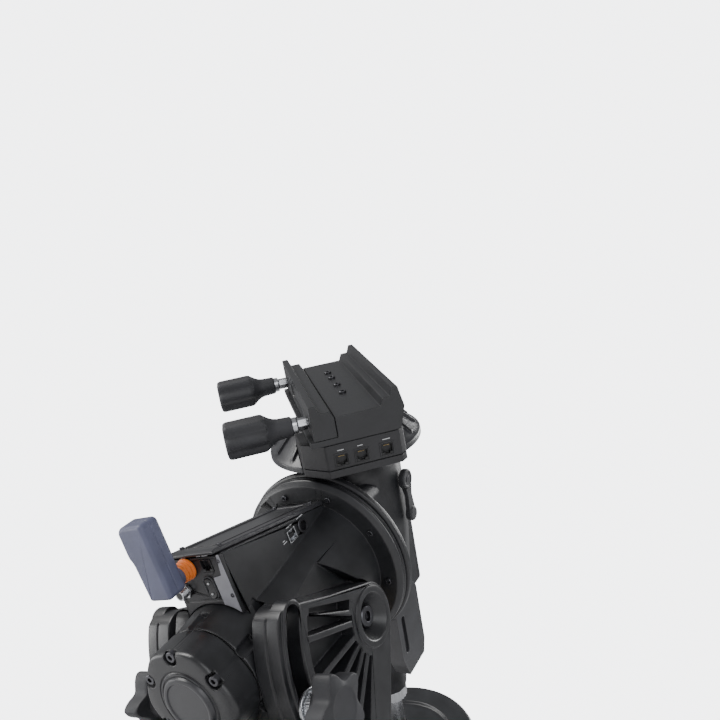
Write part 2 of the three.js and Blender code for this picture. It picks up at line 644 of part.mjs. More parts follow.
function addCounterweight() {
  const bar = join(
    cylinder("z", BAR_RADIUS, [BAR_END + 14, -161], [0, 0], 24),
    cylinder("z", 5, [BAR_END + 2, BAR_END + 15], [0, 0], 16),
  );
  add(hour, "counterweight_bar", bar, STEEL);
  const nut = ring("z", 17, BAR_RADIUS + GAP, [-218, -205 - GAP], [0, 0], 20);
  add(hour, "bar_lock_nut", nut, ALUMINIUM);
  const stop = cut(
    turned("z", [
      [0, BAR_END],
      [13, BAR_END],
      [15, BAR_END + 2],
      [15, BAR_END + 11],
      [12, BAR_END + 13.6],
      [0, BAR_END + 13.6],
    ], [0, 0], 24),
    cylinder("z", 5 + GAP, [BAR_END + 1.6, BAR_END + 20], [0, 0], 16),
  );
  add(hour, "bar_end_stop", stop, KNOB_BLACK);

  const [low, high] = WEIGHT_W;
  const iron = cut(
    turned("z", [
      [0, low],
      [WEIGHT_RADIUS - 4, low],
      [WEIGHT_RADIUS, low + 4],
      [WEIGHT_RADIUS, high - 4],
      [WEIGHT_RADIUS - 4, high],
      [0, high],
    ], [0, 0], 30),
    cylinder("z", BAR_RADIUS + 0.5, [low - 1, high + 1], [0, 0], 24),
    cylinder("x", 5 + GAP, [BAR_RADIUS, WEIGHT_RADIUS + 1], [0, (low + high) / 2], 16),
  );
  add(hour, "counterweight", iron, BLACK_CAST);
  const middle = [0, (low + high) / 2];
  const lock = join(
    cylinder("x", 5, [BAR_RADIUS + 1.5, WEIGHT_RADIUS + 1], middle, 12),
    lobed("x", 10, 4, 10, 6, 0, [WEIGHT_RADIUS + 0.5, WEIGHT_RADIUS + 16], middle),
  );
  add(hour, "counterweight_knob", lock, KNOB_BLACK);
}

// ---- Head: turns on the declination axis and clamps the telescope ----
function addHeadShaft() {
  const shaft = join(cylinder("z", 15, [-56, 80], [0, 0], 28), cylinder("z", 25, [77, 86], [0, 0], 24));
  add(head, "declination_shaft", shaft, STEEL);
  add(head, "declination_worm_wheel", ring("z", DEC_WHEEL_RADIUS, 15 + GAP, [9, 21], [0, 0], 30), BRASS);
}

const PORT_BOX = { u: [-52, 42], v: [-85, -34], w: [90, 121.5] };

function portOutline(grow) {
  const [[u0, u1], [v0, v1]] = [PORT_BOX.u, PORT_BOX.v];
  return [
    [u0 - grow, v0 + 20 - grow],
    [u0 + 20 - grow, v0 - grow],
    [u1 - 6 + grow, v0 - grow],
    [u1 + grow, v0 + 6 - grow],
    [u1 + grow, v1 + grow],
    [u0 - grow, v1 + grow],
  ];
}

function addSaddle() {
  const cone = turned("z", [
    [0, 86 + GAP],
    [60, 86 + GAP],
    [60, 89],
    [76.4, 89],
    [76.4, 95],
    [72, 97],
    [50, 118],
    [0, 118],
  ], [0, 0], 30);
  const ribReach = turned("z", [[0, 90], [74, 90], [74, 98], [54, 118], [0, 118]], [0, 0], 30);
  const ribs = Array.from({ length: 16 }, (_, i) =>
    slab("z", ribOutline(30, 72, i * 22.5 + 11.25, 3.5), [92, 115]).intersect(ribReach),
  );
  const room = slab("z", portOutline(0.5), [PORT_BOX.w[0] - 6, PORT_BOX.w[1] + 4]);
  add(head, "saddle_disc", cut(join(cone, ...ribs), room), GREY_CAST);

  const section = [
    [-44, 122.5],
    [39, 122.5],
    [45, 143],
    [41, 162],
    [36, 162],
    [33, 154],
    [26, 154],
    [23, 147],
    [-18.5, 147],
    [-18.5, 128],
    [-44, 128],
  ];
  const bores = CLAMP_V.map((v) => cylinder("x", 4 + GAP, [-20, 16], [v, CLAMP_W], 16));
  const foot = slab("z", rounded([-34, 34], [-30, 64], 6), [118 + GAP, 123]);
  add(head, "saddle", cut(join(slab("y", section, SADDLE_V), foot), ...bores), BLACK_CAST);

  const jawSection = [
    [-40, 128 + GAP],
    [-19, 128 + GAP],
    [-19, 147],
    [-22, 153],
    [-31, 153],
    [-34, 160.5],
    [-40, 160.5],
  ];
  const passages = CLAMP_V.map((v) => cylinder("x", 4 + GAP, [-41, -18], [v, CLAMP_W], 16));
  add(head, "saddle_jaw", cut(slab("y", jawSection, SADDLE_V), ...passages), BLACK_CAST);
}

function addClampKnobs() {
  for (const [name, v] of [["rear", CLAMP_V[0]], ["front", CLAMP_V[1]]]) {
    const at = [v, CLAMP_W];
    const grip = lobed("x", 14.5, 6, 11.3, 6, 0, [-115, -78], at, 8);
    const neck = cylinder("x", 15, [-78.1, -72], at, 24, 10);
    const sleeve = cylinder("x", 10, [-72.1, -54], at, 24, 8.5);
    const stud = join(
      cylinder("x", 4, [-55, 14], at, 16),
      cylinder("x", 7.5, [-54.1, -50], at, 20),
      cylinder("x", 6, [-50.1, -41], at, 6),
    );
    add(head, "clamp_knob_" + name, join(grip, neck, sleeve, stud), KNOB_BLACK);
  }
}

function addPortBox() {
  const [low, high] = PORT_BOX.w;
  const seam = low + 7;
  const upper = slab("z", portOutline(0), [seam + GAP, high]);
  const hollow = slab("z", portOutline(-4), [seam - 1, high - 4]);
  const jacks = [-18.6, -0.2, 23.1].map((u) => block([u - 5.6, u + 5.6], [-90, -78], [100.5, 111.5]));
  add(head, "port_box", cut(upper, hollow, ...jacks), PLASTIC_BLACK);
  add(head, "port_box_base", slab("z", portOutline(0), [low, seam]), PLASTIC_BLACK);
}

addBase();
addFloor();
addArms();
addAzimuthScrews();
addAltitudeDrive();
addPolarHousing();
addPolarCovers();
addPolarDrive();
addAltitudeSector();
addLatitudeLocks();
addModule();
addDeclinationHousing();
addDeclinationDrive();
addPolarShaft();
addClutchLevers();
addCounterweight();
addHeadShaft();
addSaddle();
addClampKnobs();
addPortBox();

export default mount;
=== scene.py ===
"""Equatorial mount head: the visible model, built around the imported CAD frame."""

import math

import bmesh
import bpy
from bpy.props import FloatProperty, FloatVectorProperty, IntProperty, PointerProperty
from mathutils import Matrix, Vector
from mathutils.bvhtree import BVHTree


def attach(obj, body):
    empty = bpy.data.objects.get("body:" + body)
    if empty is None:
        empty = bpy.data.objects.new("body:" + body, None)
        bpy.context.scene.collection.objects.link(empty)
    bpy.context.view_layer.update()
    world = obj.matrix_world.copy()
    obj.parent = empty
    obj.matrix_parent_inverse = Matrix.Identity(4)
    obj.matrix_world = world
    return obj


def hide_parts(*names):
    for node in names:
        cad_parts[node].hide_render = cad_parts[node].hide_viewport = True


bl_info = {
    "name": "Equatorial Mount Head",
    "version": (1, 0, 0),
    "blender": (4, 5, 0),
    "location": "View3D > Sidebar > Mount",
    "description": "Builds the castings, knobs, covers and fittings of a telescope mount head",
    "category": "Object",
}

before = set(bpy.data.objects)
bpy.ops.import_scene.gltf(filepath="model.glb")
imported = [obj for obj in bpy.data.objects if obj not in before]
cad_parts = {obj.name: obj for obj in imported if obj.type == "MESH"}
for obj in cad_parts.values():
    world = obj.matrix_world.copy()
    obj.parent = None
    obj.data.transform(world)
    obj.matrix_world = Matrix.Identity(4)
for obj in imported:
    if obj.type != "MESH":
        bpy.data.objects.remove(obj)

MM = 0.001
GAP = 0.3  # between pieces that touch, in millimetres as every size below

# ---- The attitude of the mount ----
LATITUDE = 38
HOUR_ANGLE = 12.4
DECLINATION = 40.7
LATITUDE_RANGE = (3, 65)
PIVOT = (0, 47, 200)
RA_HEIGHT = 30
DEC_ALONG = 125.6


def turn(degrees, axis):
    """A rotation about one axis."""
    return Matrix.Rotation(math.radians(degrees), 4, axis)


YOKE = Matrix.Identity(4)
ARMS = Matrix.Translation(PIVOT)
TILT = ARMS @ turn(LATITUDE, "X")
HOUR = TILT @ Matrix.Translation((0, DEC_ALONG, RA_HEIGHT)) @ turn(HOUR_ANGLE, "Y")
HEAD = HOUR @ turn(DECLINATION, "Z")
POLAR = (0, RA_HEIGHT)  # the polar axis in the tilting frame, X and Z


# ---- Sizes and colours a user would change ----
class MountSizes(bpy.types.PropertyGroup):
    """Edge and surface sizes of the mount's pieces."""

    edge: FloatProperty(
        name="Casting Edge", description="Rounding of the castings' edges", default=0.0009, unit="LENGTH"
    )
    grip_depth: FloatProperty(
        name="Grip Depth", description="Depth of the clamp knobs' flutes", default=0.0034, unit="LENGTH"
    )
    round_steps: IntProperty(name="Round Steps", description="Sides of the turned pieces", default=96, min=24)
    wheel_teeth: IntProperty(name="Wheel Teeth", description="Teeth of the worm wheels", default=120, min=24)


class MountColours(bpy.types.PropertyGroup):
    """Finishes of the mount's pieces."""

    casting: FloatVectorProperty(
        name="Casting", description="Black enamel", subtype="COLOR", default=(0.0145, 0.015, 0.017)
    )
    grey: FloatVectorProperty(
        name="Grey Casting", description="Dark grey enamel", subtype="COLOR", default=(0.026, 0.0265, 0.030)
    )
    trim: FloatVectorProperty(
        name="Panel Trim", description="Pale wedge by the panel", subtype="COLOR", default=(0.26, 0.26, 0.285)
    )
    knob: FloatVectorProperty(
        name="Knob", description="Soft grip plastic", subtype="COLOR", default=(0.024, 0.0245, 0.028)
    )
    module: FloatVectorProperty(
        name="Module", description="Wireless module's case", subtype="COLOR", default=(0.098, 0.105, 0.17)
    )
    orange: FloatVectorProperty(
        name="Module Neck", description="Wireless module's plug", subtype="COLOR", default=(0.80, 0.19, 0.025)
    )


def sizes():
    """The mount's sizes, as set in the scene."""
    return bpy.context.scene.mount_sizes


def colours():
    """The mount's colours, as set in the scene."""
    return bpy.context.scene.mount_colours


# ---- Shader maths ----
class Field:
    """A shader value: arithmetic on it adds the matching Math nodes."""

    def __init__(self, graph, socket):
        self.graph = graph
        self.socket = socket

    def math(self, operation, other, swap=False):
        pair = (other, self) if swap else (self, other)
        return self.graph.node("ShaderNodeMath", {"operation": operation}, *pair)

    def __add__(self, other):
        return self.math("ADD", other)

    def __mul__(self, other):
        return self.math("MULTIPLY", other)

    def __sub__(self, other):
        return self.math("SUBTRACT", other)

    def __rsub__(self, other):
        return self.math("SUBTRACT", other, swap=True)

    __radd__ = __add__
    __rmul__ = __mul__


class Graph:
    """The node tree of one material, with a shader and the piece's own coordinates."""

    def __init__(self, name):
        self.material = bpy.data.materials.new(name)
        self.material.use_nodes = True
        self.tree = self.material.node_tree
        self.shader = self.tree.nodes["Principled BSDF"]
        self.place = self.node("ShaderNodeTexCoord", {}, output="Object")

    def node(self, kind, settings, *values, output=0, **named):
        """Adds a node: its settings first, then the values or links of its sockets."""
        made = self.tree.nodes.new(kind)
        for key, value in settings.items():
            setattr(made, key, value)
        for socket, value in [*enumerate(values), *named.items()]:
            self.feed(made.inputs[socket.replace("_", " ") if isinstance(socket, str) else socket], value)
        return Field(self, made.outputs[output])

    def feed(self, socket, value):
        if isinstance(value, Field):
            self.tree.links.new(value.socket, socket)
        else:
            socket.default_value = value

    def noise(self, scale, detail):
        return self.node(
            "ShaderNodeTexNoise", {}, Vector=self.place, Scale=scale, Detail=detail, Roughness=0.55
        )

    def spread(self, field, low, high):
        """A field's middle range stretched to run from 0 at low to 1 at high."""
        return self.node("ShaderNodeMapRange", {"clamp": True}, field, low, high, 0.0, 1.0)

    def blend(self, share, first, second):
        mix = self.tree.nodes.new("ShaderNodeMix")
        mix.data_type = "RGBA"
        for socket, value in zip((0, 6, 7), (share, first, second)):
            self.feed(mix.inputs[socket], value)
        return Field(self, mix.outputs[2])

    def edges(self, radius):
        """How close the surface is to a sharp edge, and the normal rounded over that edge."""
        rounded_normal = self.node("ShaderNodeBevel", {"samples": 4}, radius)
        true_normal = self.node("ShaderNodeNewGeometry", {}, output="Normal")
        flatness = self.node(
            "ShaderNodeVectorMath", {"operation": "DOT_PRODUCT"}, rounded_normal, true_normal, output=1
        )
        return self.spread(1 - flatness, 0.004, 0.16), rounded_normal


def rgba(colour, gain=1.0):
    """A colour for a shader socket, brightened by a gain."""
    return (*(min(1.0, channel * gain) for channel in colour), 1.0)


def enamel(name, colour, roughness=0.42, grain=2600, depth=0.09, coat=0.0, highlight_and_wear=0.5, tone=1.35):
    """Sprayed paint or moulded plastic: fine orange peel, soft mottling, and paler edges that are partly wear
    and partly a painted highlight.
    """
    graph = Graph(name)
    peel = graph.noise(grain, 2.0)
    cloud = graph.spread(graph.noise(45, 4.0), 0.35, 0.7)
    specks = graph.spread(graph.noise(900, 2.0), 0.62, 0.75)
    # Paler edges: a painted highlight along every sharp edge where the surface rounds over, together with
    # wear, broken up by noise.
    highlight_and_wear_edge, normal = graph.edges(0.0007)
    base = graph.blend(cloud, rgba(colour, 0.86), rgba(colour, tone))
    highlight_and_wear_patches = highlight_and_wear_edge * graph.spread(graph.noise(160, 3.0), 0.42, 0.62) * highlight_and_wear
    # The edges are painted up to 3.2 times brighter: painted highlight and wear.
    graph.feed(graph.shader.inputs["Base Color"], graph.blend(highlight_and_wear_patches, base, rgba(colour, 3.2)))
    matt = cloud * 0.1 + specks * 0.08 + (roughness - 0.06) - highlight_and_wear_patches * 0.1
    graph.feed(graph.shader.inputs["Roughness"], matt)
    bump = graph.node("ShaderNodeBump", {}, Strength=depth, Distance=0.0004, Height=peel, Normal=normal)
    graph.feed(graph.shader.inputs["Normal"], bump)
    graph.shader.inputs["Coat Weight"].default_value = coat
    graph.shader.inputs["Coat Roughness"].default_value = 0.3
    return graph.material


def metal(name, colour, roughness=0.24, lines=(900, 40, 900)):
    """Machined metal: fine tool lines, faint stains and a soft paler edge, partly wear and partly a painted
    highlight.
    """
    graph = Graph(name)
    stretched = graph.node("ShaderNodeMapping", {}, Vector=graph.place, Scale=lines)
    tool = graph.node("ShaderNodeTexNoise", {}, Vector=stretched, Scale=6.0, Detail=4.0, Roughness=0.7)
    stain = graph.spread(graph.noise(60, 5.0), 0.4, 0.72)
    highlight_and_wear_edge, normal = graph.edges(0.0004)
    base = graph.blend(stain, rgba(colour), rgba(colour, 0.74))
    # Paler edges, 1.15 times brighter: painted highlight and wear.
    graph.feed(graph.shader.inputs["Base Color"], graph.blend(highlight_and_wear_edge * 0.4, base, rgba(colour, 1.15)))
    graph.feed(graph.shader.inputs["Roughness"], stain * 0.12 + tool * 0.16 + (roughness - 0.08))
    bump = graph.node("ShaderNodeBump", {}, Strength=0.06, Distance=0.0003, Height=tool, Normal=normal)
    graph.feed(graph.shader.inputs["Normal"], bump)
    graph.shader.inputs["Metallic"].default_value = 1.0
    return graph.material


FINISHES = {}


def make_finishes():
    """Every finish of the mount, by name."""
    c = colours()
    FINISHES.update(
        casting=enamel("black_enamel", c.casting, 0.40, depth=0.14, coat=0.12),
        grey=enamel("grey_enamel", c.grey, 0.38, depth=0.12, coat=0.15),
        trim=enamel("trim_enamel", c.trim, 0.42, depth=0.08, highlight_and_wear=0.2, tone=1.08),
        knob=enamel("soft_grip", c.knob, 0.62, grain=3400, depth=0.16, highlight_and_wear=0.35),
        plastic=enamel("moulded_plastic", (0.017, 0.017, 0.019), 0.46, grain=4200, depth=0.12, highlight_and_wear=0.2),
        socket=enamel("socket_plastic", (0.006, 0.006, 0.007), 0.35, depth=0.05, highlight_and_wear=0.1),
        module=enamel("module_case", c.module, 0.46, grain=4200, depth=0.08, highlight_and_wear=0.15, tone=1.12),
        orange=enamel("neck_plastic", c.orange, 0.45, grain=4200, depth=0.07, highlight_and_wear=0.1, tone=1.1),
        belt=enamel("belt_rubber", (0.012, 0.012, 0.013), 0.72, grain=1800, depth=0.3, highlight_and_wear=0.2),
        board=enamel("board_resist", (0.012, 0.10, 0.045), 0.35, grain=700, depth=0.05, coat=0.4, highlight_and_wear=0.1),
        mark=enamel("pale_mark", (0.62, 0.63, 0.64), 0.5, depth=0.02, highlight_and_wear=0.0, tone=1.05),
        iron=enamel("weight_enamel", (0.016, 0.017, 0.019), 0.36, grain=1500, depth=0.28, coat=0.2, highlight_and_wear=0.7),
        steel=metal("turned_steel", (0.56, 0.57, 0.59)),
        dark_steel=metal("blued_steel", (0.11, 0.11, 0.12), 0.32),
        brass=metal("gear_brass", (0.66, 0.47, 0.20), 0.30),
        aluminium=metal("anodised_aluminium", (0.60, 0.61, 0.63), 0.34, lines=(40, 40, 900)),
    )


# ---- Outlines ----
def arc(radius, start, end, steps, centre=(0, 0)):
    """Points along an arc, from one compass angle in degrees to another."""
    angles = [math.radians(start + (end - start) * i / steps) for i in range(steps + 1)]
    return [(centre[0] + radius * math.cos(a), centre[1] + radius * math.sin(a)) for a in angles]


def rounded(xs, ys, radius, steps=6):
    """A rectangle with round corners."""
    (x0, x1), (y0, y1) = xs, ys
    return [
        *arc(radius, 0, 90, steps, (x1 - radius, y1 - radius)),
        *arc(radius, 90, 180, steps, (x0 + radius, y1 - radius)),
        *arc(radius, 180, 270, steps, (x0 + radius, y0 + radius)),
        *arc(radius, 270, 360, steps, (x1 - radius, y0 + radius)),
    ]


def band(inner, outer, start, end, steps, centre=(0, 0)):
    """Part of a ring between two radii."""
    return [*arc(outer, start, end, steps, centre), *arc(inner, end, start, steps, centre)]


def rib_outline(start, end, angle, width):
    """A straight bar from one radius to another, turned about the origin."""
    c, s = math.cos(math.radians(angle)), math.sin(math.radians(angle))
    half = width / 2
    corners = [(start, -half), (end, -half), (end, half), (start, half)]
    return [(a * c - b * s, a * s + b * c) for a, b in corners]


# ---- Shapes, in millimetres in a frame of their own ----
def spot(axis, p, q, along):
    """A point from its two sideways coordinates, in X, Y, Z order, and its place along the axis."""
    return {"x": (along, p, q), "y": (p, along, q), "z": (p, q, along)}[axis]


def shape(points, faces):
    """A closed mesh object whose faces point outwards."""
    mesh = bpy.data.meshes.new("shape")
    mesh.from_pydata([Vector(p) for p in points], [], faces)
    made = bmesh.new()
    made.from_mesh(mesh)
    bmesh.ops.remove_doubles(made, verts=made.verts, dist=1e-4)
    bmesh.ops.recalc_face_normals(made, faces=made.faces)
    if made.calc_volume(signed=True) < 0:
        bmesh.ops.reverse_faces(made, faces=made.faces)
    made.to_mesh(mesh)
    made.free()
    item = bpy.data.objects.new("shape", mesh)
    bpy.context.scene.collection.objects.link(item)
    return item


def prism(axis, outline, span):
    """An outline drawn out along an axis."""
    count = len(outline)
    points = [spot(axis, p, q, along) for along in span for p, q in outline]
    sides = [(i, (i + 1) % count, count + (i + 1) % count, count + i) for i in range(count)]
    return shape(points, [tuple(range(count)), tuple(range(count, 2 * count)), *sides])


def inset(outline, depth):
    """An anticlockwise outline drawn in by a depth."""
    drawn = []
    for before, point, after in zip([outline[-1], *outline], outline, [*outline[1:], outline[0]]):
        before, point, after = Vector(before), Vector(point), Vector(after)
        along = ((point - before).normalized() + (after - point).normalized()).normalized()
        drawn.append((point.x - along.y * depth, point.y + along.x * depth))
    return drawn


def pillow(axis, outline, span, radius):
    """A slab whose faces round over into its sides, with a fine seam round its middle."""
    low, high = span
    middle = (low + high) / 2
    steps, seam = 5, 0.4
    rings = []
    for i in range(steps + 1):
        angle = math.radians(90 * i / steps)
        rings.append((low + radius * (1 - math.cos(angle)), radius * (1 - math.sin(angle))))
    rings += [(middle - seam, 0), (middle - seam / 2, seam), (middle, seam)]
    rings += [(low + high - along, depth) for along, depth in reversed(rings[:-1])]
    count = len(outline)
    points = [spot(axis, p, q, along) for along, depth in rings for p, q in inset(outline, depth)]
    sides = []
    for ring in range(len(rings) - 1):
        first = ring * count
        for i in range(count):
            j = (i + 1) % count
            sides.append((first + i, first + j, first + count + j, first + count + i))
    last = (len(rings) - 1) * count
    return shape(points, [tuple(range(count)), tuple(range(last, last + count)), *sides])


def curved_slot(radius, half, start, end, steps=40):
    """A round-ended slot along an arc about the centre."""
    first, last = arc(radius, start, end, 1)
    return [
        *arc(radius + half, start, end, steps), *arc(half, end, end + 180, 14, last),
        *arc(radius - half, end, start, steps), *arc(half, start + 180, start + 360, 14, first),
    ]


def block(xs, ys, zs):
    """A box from its three spans."""
    return prism("z", [(xs[0], ys[0]), (xs[1], ys[0]), (xs[1], ys[1]), (xs[0], ys[1])], zs)


def revolved(axis, profile, centre=(0, 0), steps=None, lobes=0, phase=0.0, power=1.0):
    """A profile of (radius, place along the axis, depth of the flutes there) turned about the axis."""
    steps = steps or sizes().round_steps
    points, rings = [], []
    for radius, along, *flute in profile:
        rings.append(len(points))
        if radius < 1e-6:
            points.append(spot(axis, *centre, along))
            continue
        for i in range(steps):
            angle = 2 * math.pi * i / steps
            dip = (0.5 - 0.5 * math.cos(lobes * (angle - math.radians(phase)))) ** power if lobes else 0.0
            reach = radius - (flute[0] if flute else 0.0) * dip
            points.append(
                spot(axis, centre[0] + reach * math.cos(angle), centre[1] + reach * math.sin(angle), along)
            )
    rings.append(len(points))
    faces = []
    for low, mid, high in zip(rings, rings[1:], rings[2:]):
        first, second = mid - low, high - mid
        for i in range(steps):
            j = (i + 1) % steps
            if first == 1 and second > 1:
                faces.append((low, mid + i, mid + j))
            elif second == 1 and first > 1:
                faces.append((low + i, low + j, mid))
            elif first > 1:
                faces.append((low + i, low + j, mid + j, mid + i))
    return shape(points, faces)


def rod(axis, radius, span, centre=(0, 0), steps=None, edge=0.0):
    """A round bar, with a chamfer at both ends where an edge is given."""
    low, high = span
    if not edge:
        return revolved(axis, [(0, low), (radius, low), (radius, high), (0, high)], centre, steps)
    return revolved(axis, [
        (0, low), (radius - edge, low), (radius, low + edge), (radius, high - edge), (radius - edge, high),
        (0, high),
    ], centre, steps)


def bake(item):
    """The object's mesh with its modifiers worked in."""
    graph = bpy.context.evaluated_depsgraph_get()
    mesh = bpy.data.meshes.new_from_object(item.evaluated_get(graph))
    item.modifiers.clear()
    item.data = mesh
    return item


def boolean(item, others, operation):
    """Adds or cuts other shapes into the first, which are used up."""
    for other in others:
        modifier = item.modifiers.new("boolean", "BOOLEAN")
        modifier.operation = operation
        modifier.solver = "EXACT"
        modifier.object = other
    bake(item)
    for other in others:
        bpy.data.objects.remove(other)
    return item


def joined(item, *others):
    return boolean(item, others, "UNION")


def cut(item, *others):
    return boolean(item, others, "DIFFERENCE")


def gathered(item, *others):
    """Separate closed shells kept together as one piece."""
    made = bmesh.new()
    for part in (item, *others):
        made.from_mesh(part.data)
    made.to_mesh(item.data)
    made.free()
    for other in others:
        bpy.data.objects.remove(other)
    return item


SHARP_ANGLE = math.radians(34)
STRAY = 0.75  # how far a rounded corner may leave the surface, in widths of the rounding


def from_cad(node):
    """A welded copy of a CAD node, in millimetres."""
    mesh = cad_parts[node].data.copy()
    mesh.transform(Matrix.Scale(1 / MM, 4))
    made = bmesh.new()
    made.from_mesh(mesh)
    bmesh.ops.remove_doubles(made, verts=made.verts, dist=0.004)
    made.to_mesh(mesh)
    made.free()
    item = bpy.data.objects.new(node, mesh)
    bpy.context.scene.collection.objects.link(item)
    return item


def soften(item, width, segments=2):
    """Rounds the sharp edges, and pulls back any corner that the rounding threw off the surface."""
    made = bmesh.new()
    made.from_mesh(item.data)
    bmesh.ops.remove_doubles(made, verts=made.verts, dist=0.02)
    crowded = [face for face in made.faces if len(face.verts) > 4]
    bmesh.ops.triangulate(made, faces=crowded, ngon_method="EAR_CLIP")
    surface = BVHTree.FromBMesh(made)
    made.to_mesh(item.data)
    made.free()
    modifier = item.modifiers.new("edge", "BEVEL")
    modifier.width = width
    modifier.segments = segments
    modifier.limit_method = "ANGLE"
    modifier.angle_limit = SHARP_ANGLE
    modifier.use_clamp_overlap = False
    modifier.miter_outer = "MITER_ARC"
    bake(item)
    for vertex in item.data.vertices:
        found = surface.find_nearest(vertex.co)
        if found[3] is not None and found[3] > STRAY * width:
            vertex.co = found[0]
    return item


def settle(item, name, where, body, finish, replaced=(), edge=0.0, segments=2):
    """Places a finished shape in the mount's frame, in metres, and hands it to its body."""
    if edge:
        soften(item, edge / MM, segments)
    mesh = item.data
    mesh.transform(Matrix.Scale(MM, 4) @ where)
    mesh.shade_smooth()
    mesh.set_sharp_from_angle(angle=SHARP_ANGLE)
    weighted = item.modifiers.new("normals", "WEIGHTED_NORMAL")
    weighted.keep_sharp = True
    weighted.weight = 100
    mesh = bake(item).data
    mesh.materials.clear()
    mesh.materials.append(FINISHES[finish])
    for polygon in mesh.polygons:
        polygon.material_index = 0
    item.name = mesh.name = name
    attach(item, body)
    if replaced:
        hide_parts(*replaced)
    return item


def refine(node, body, finish, edge):
    """A CAD node's own shape with rounded edges."""
    return settle(from_cad(node), node + "_finished", YOKE, body, finish, (node,), edge)


def sided(side):
    """A span on the east (+1) or west (-1) side from its distances off the middle."""
    return lambda a, b: (min(side * a, side * b), max(side * a, side * b))


SIDES = (("left", -1), ("right", 1))


# ---- Base and yoke ----
BASE_RADIUS = 75
BASE_HEIGHT = 22
FLOOR_Z = (24.3, 36.3)
PEG_Y = 66
PUSH_Z = 31
WORM_DROP = 153
ARM_X = (45, 70)
ARM_ARC = 122
ARM_RIBS = (194, 215, 230, 244, 257)  # compass of each rib about the pivot, in degrees
SLOT_RADIUS = 107
SLOT_HALF = 7
SECTOR_RADIUS = 145


class MOUNT_OT_base(bpy.types.Operator):
    """Makes the disc that bolts to a tripod, its axle and the azimuth peg"""

    bl_idname = "mount.base"
    bl_label = "Base"

    def execute(self, context):
        low, high = 3, BASE_HEIGHT
        disc = revolved("z", [
            (0, 0), (BASE_RADIUS - low, 0), (BASE_RADIUS - 0.8, 0.8), (BASE_RADIUS, low), (BASE_RADIUS, 9),
            (BASE_RADIUS - 1, 10), (BASE_RADIUS - 1, 11.5), (BASE_RADIUS, 12.5), (BASE_RADIUS, high - 2),
            (BASE_RADIUS - 0.6, high - 0.6), (BASE_RADIUS - 2, high), (0, high),
        ], steps=144)
        holes = [rod("z", 4, (-1, 14), at, 32) for at in arc(52, 30, 270, 2)]
        pocket = rod("z", 7 + GAP, (high - 10, high + 1), (0, PEG_Y), 48)
        joined(cut(disc, *holes, pocket), rod("z", 12, (high - 1, 34), steps=64))
        settle(disc, "tripod_disc", YOKE, "base", "casting", ("base_disc",), 0.0004)
        peg = rod("z", 7, (high - 10 + GAP, 38), (0, PEG_Y), 48, edge=0.8)
        settle(peg, "push_peg", YOKE, "base", "steel", ("azimuth_peg",))
        return {"FINISHED"}


class MOUNT_OT_floor(bpy.types.Operator):
    """Makes the yoke's floor with its worm cradles, and the bubble level"""

    bl_idname = "mount.floor"
    bl_label = "Yoke Floor"

    def execute(self, context):
        refine("yoke_floor", "yoke", "casting", sizes().edge)
        under, at = FLOOR_Z[1] + GAP, (-30, -40)
        rim = revolved("z", [
            (0, under), (8.6, under), (9, under + 0.5), (9, 42.4), (8.4, 43), (6.6, 43), (6.4, 42.2),
            (0, 42.2),
        ], at, 64)
        settle(rim, "level_rim", YOKE, "yoke", "aluminium", ("bubble_level",))
        lens = revolved("z", [(0, 42.3), (6.2, 42.3), (6.2, 43.4), (4, 44.5), (0, 44.9)], at, 48)
        settle(lens, "level_lens", YOKE, "yoke", "brass")
        return {"FINISHED"}


def arm_shape(side):
    """One fork arm: outline, ribbed pockets, raised slot rim and pivot cup, about the pivot."""
    span = sided(side)
    inner, outer = ARM_X
    bottom = FLOOR_Z[0] - PIVOT[2]

    def plate(points, low, high):
        return prism("x", points, span(low, high))

    outline = [
        (28, bottom), (28, 0), *arc(28, 15, 100, 14), (-60, 12.5), *arc(16, 82, 172, 12, (-105.5, -13)),
        *arc(ARM_ARC, 188, 225, 24), (-98, -128), (-118, -150), (-118, bottom),
    ]
    slot_ends = (LATITUDE_RANGE[0] + 179.5, LATITUDE_RANGE[1] + 180.5)
    slot = curved_slot(SLOT_RADIUS, SLOT_HALF, *slot_ends)
    rim = curved_slot(SLOT_RADIUS, 10.5, *slot_ends)
    deep = outer - 13
    pocket = plate(band(31, 88, 183, 268, 30), deep, outer + 5)
    ribs = [plate(rib_outline(28, 92, angle, 5), deep - 1, outer) for angle in ARM_RIBS]
    cut(pocket, *ribs)
    upper = plate([(-34, 3), (-34, 11), (-86, 1), (-86, -4)], deep, outer + 5)
    foot = plate(rounded((-100, 16), (bottom + 8, -124), 6), deep, outer + 5)
    cut(foot, plate([(-46, bottom), (-40, bottom), (-40, -112), (-46, -112)], deep - 1, outer))
    arm = cut(plate(outline, inner, outer), pocket, upper, foot)
    joined(arm, plate(rim, outer - 12, outer + 2), rod("x", 25, span(outer - 1, outer + 1.5), steps=96))
    cup = revolved("x", [(0, side * 58), (9.5, side * 58), (20, side * 72), (0, side * 72)], steps=96)
    groove = plate(band(ARM_ARC - 1.4, ARM_ARC + 3, 178, 226, 32), 57.5, 59)
    bores = [
        rod("x", 8 + GAP, span(inner - 1, 60), steps=48),
        rod("x", 4 + GAP, span(inner - 1, outer + 2), (PEG_Y - PIVOT[1], PUSH_Z - PIVOT[2]), 32),
    ]
    return cut(arm, plate(slot, inner - 1, outer + 5), cup, groove, *bores)


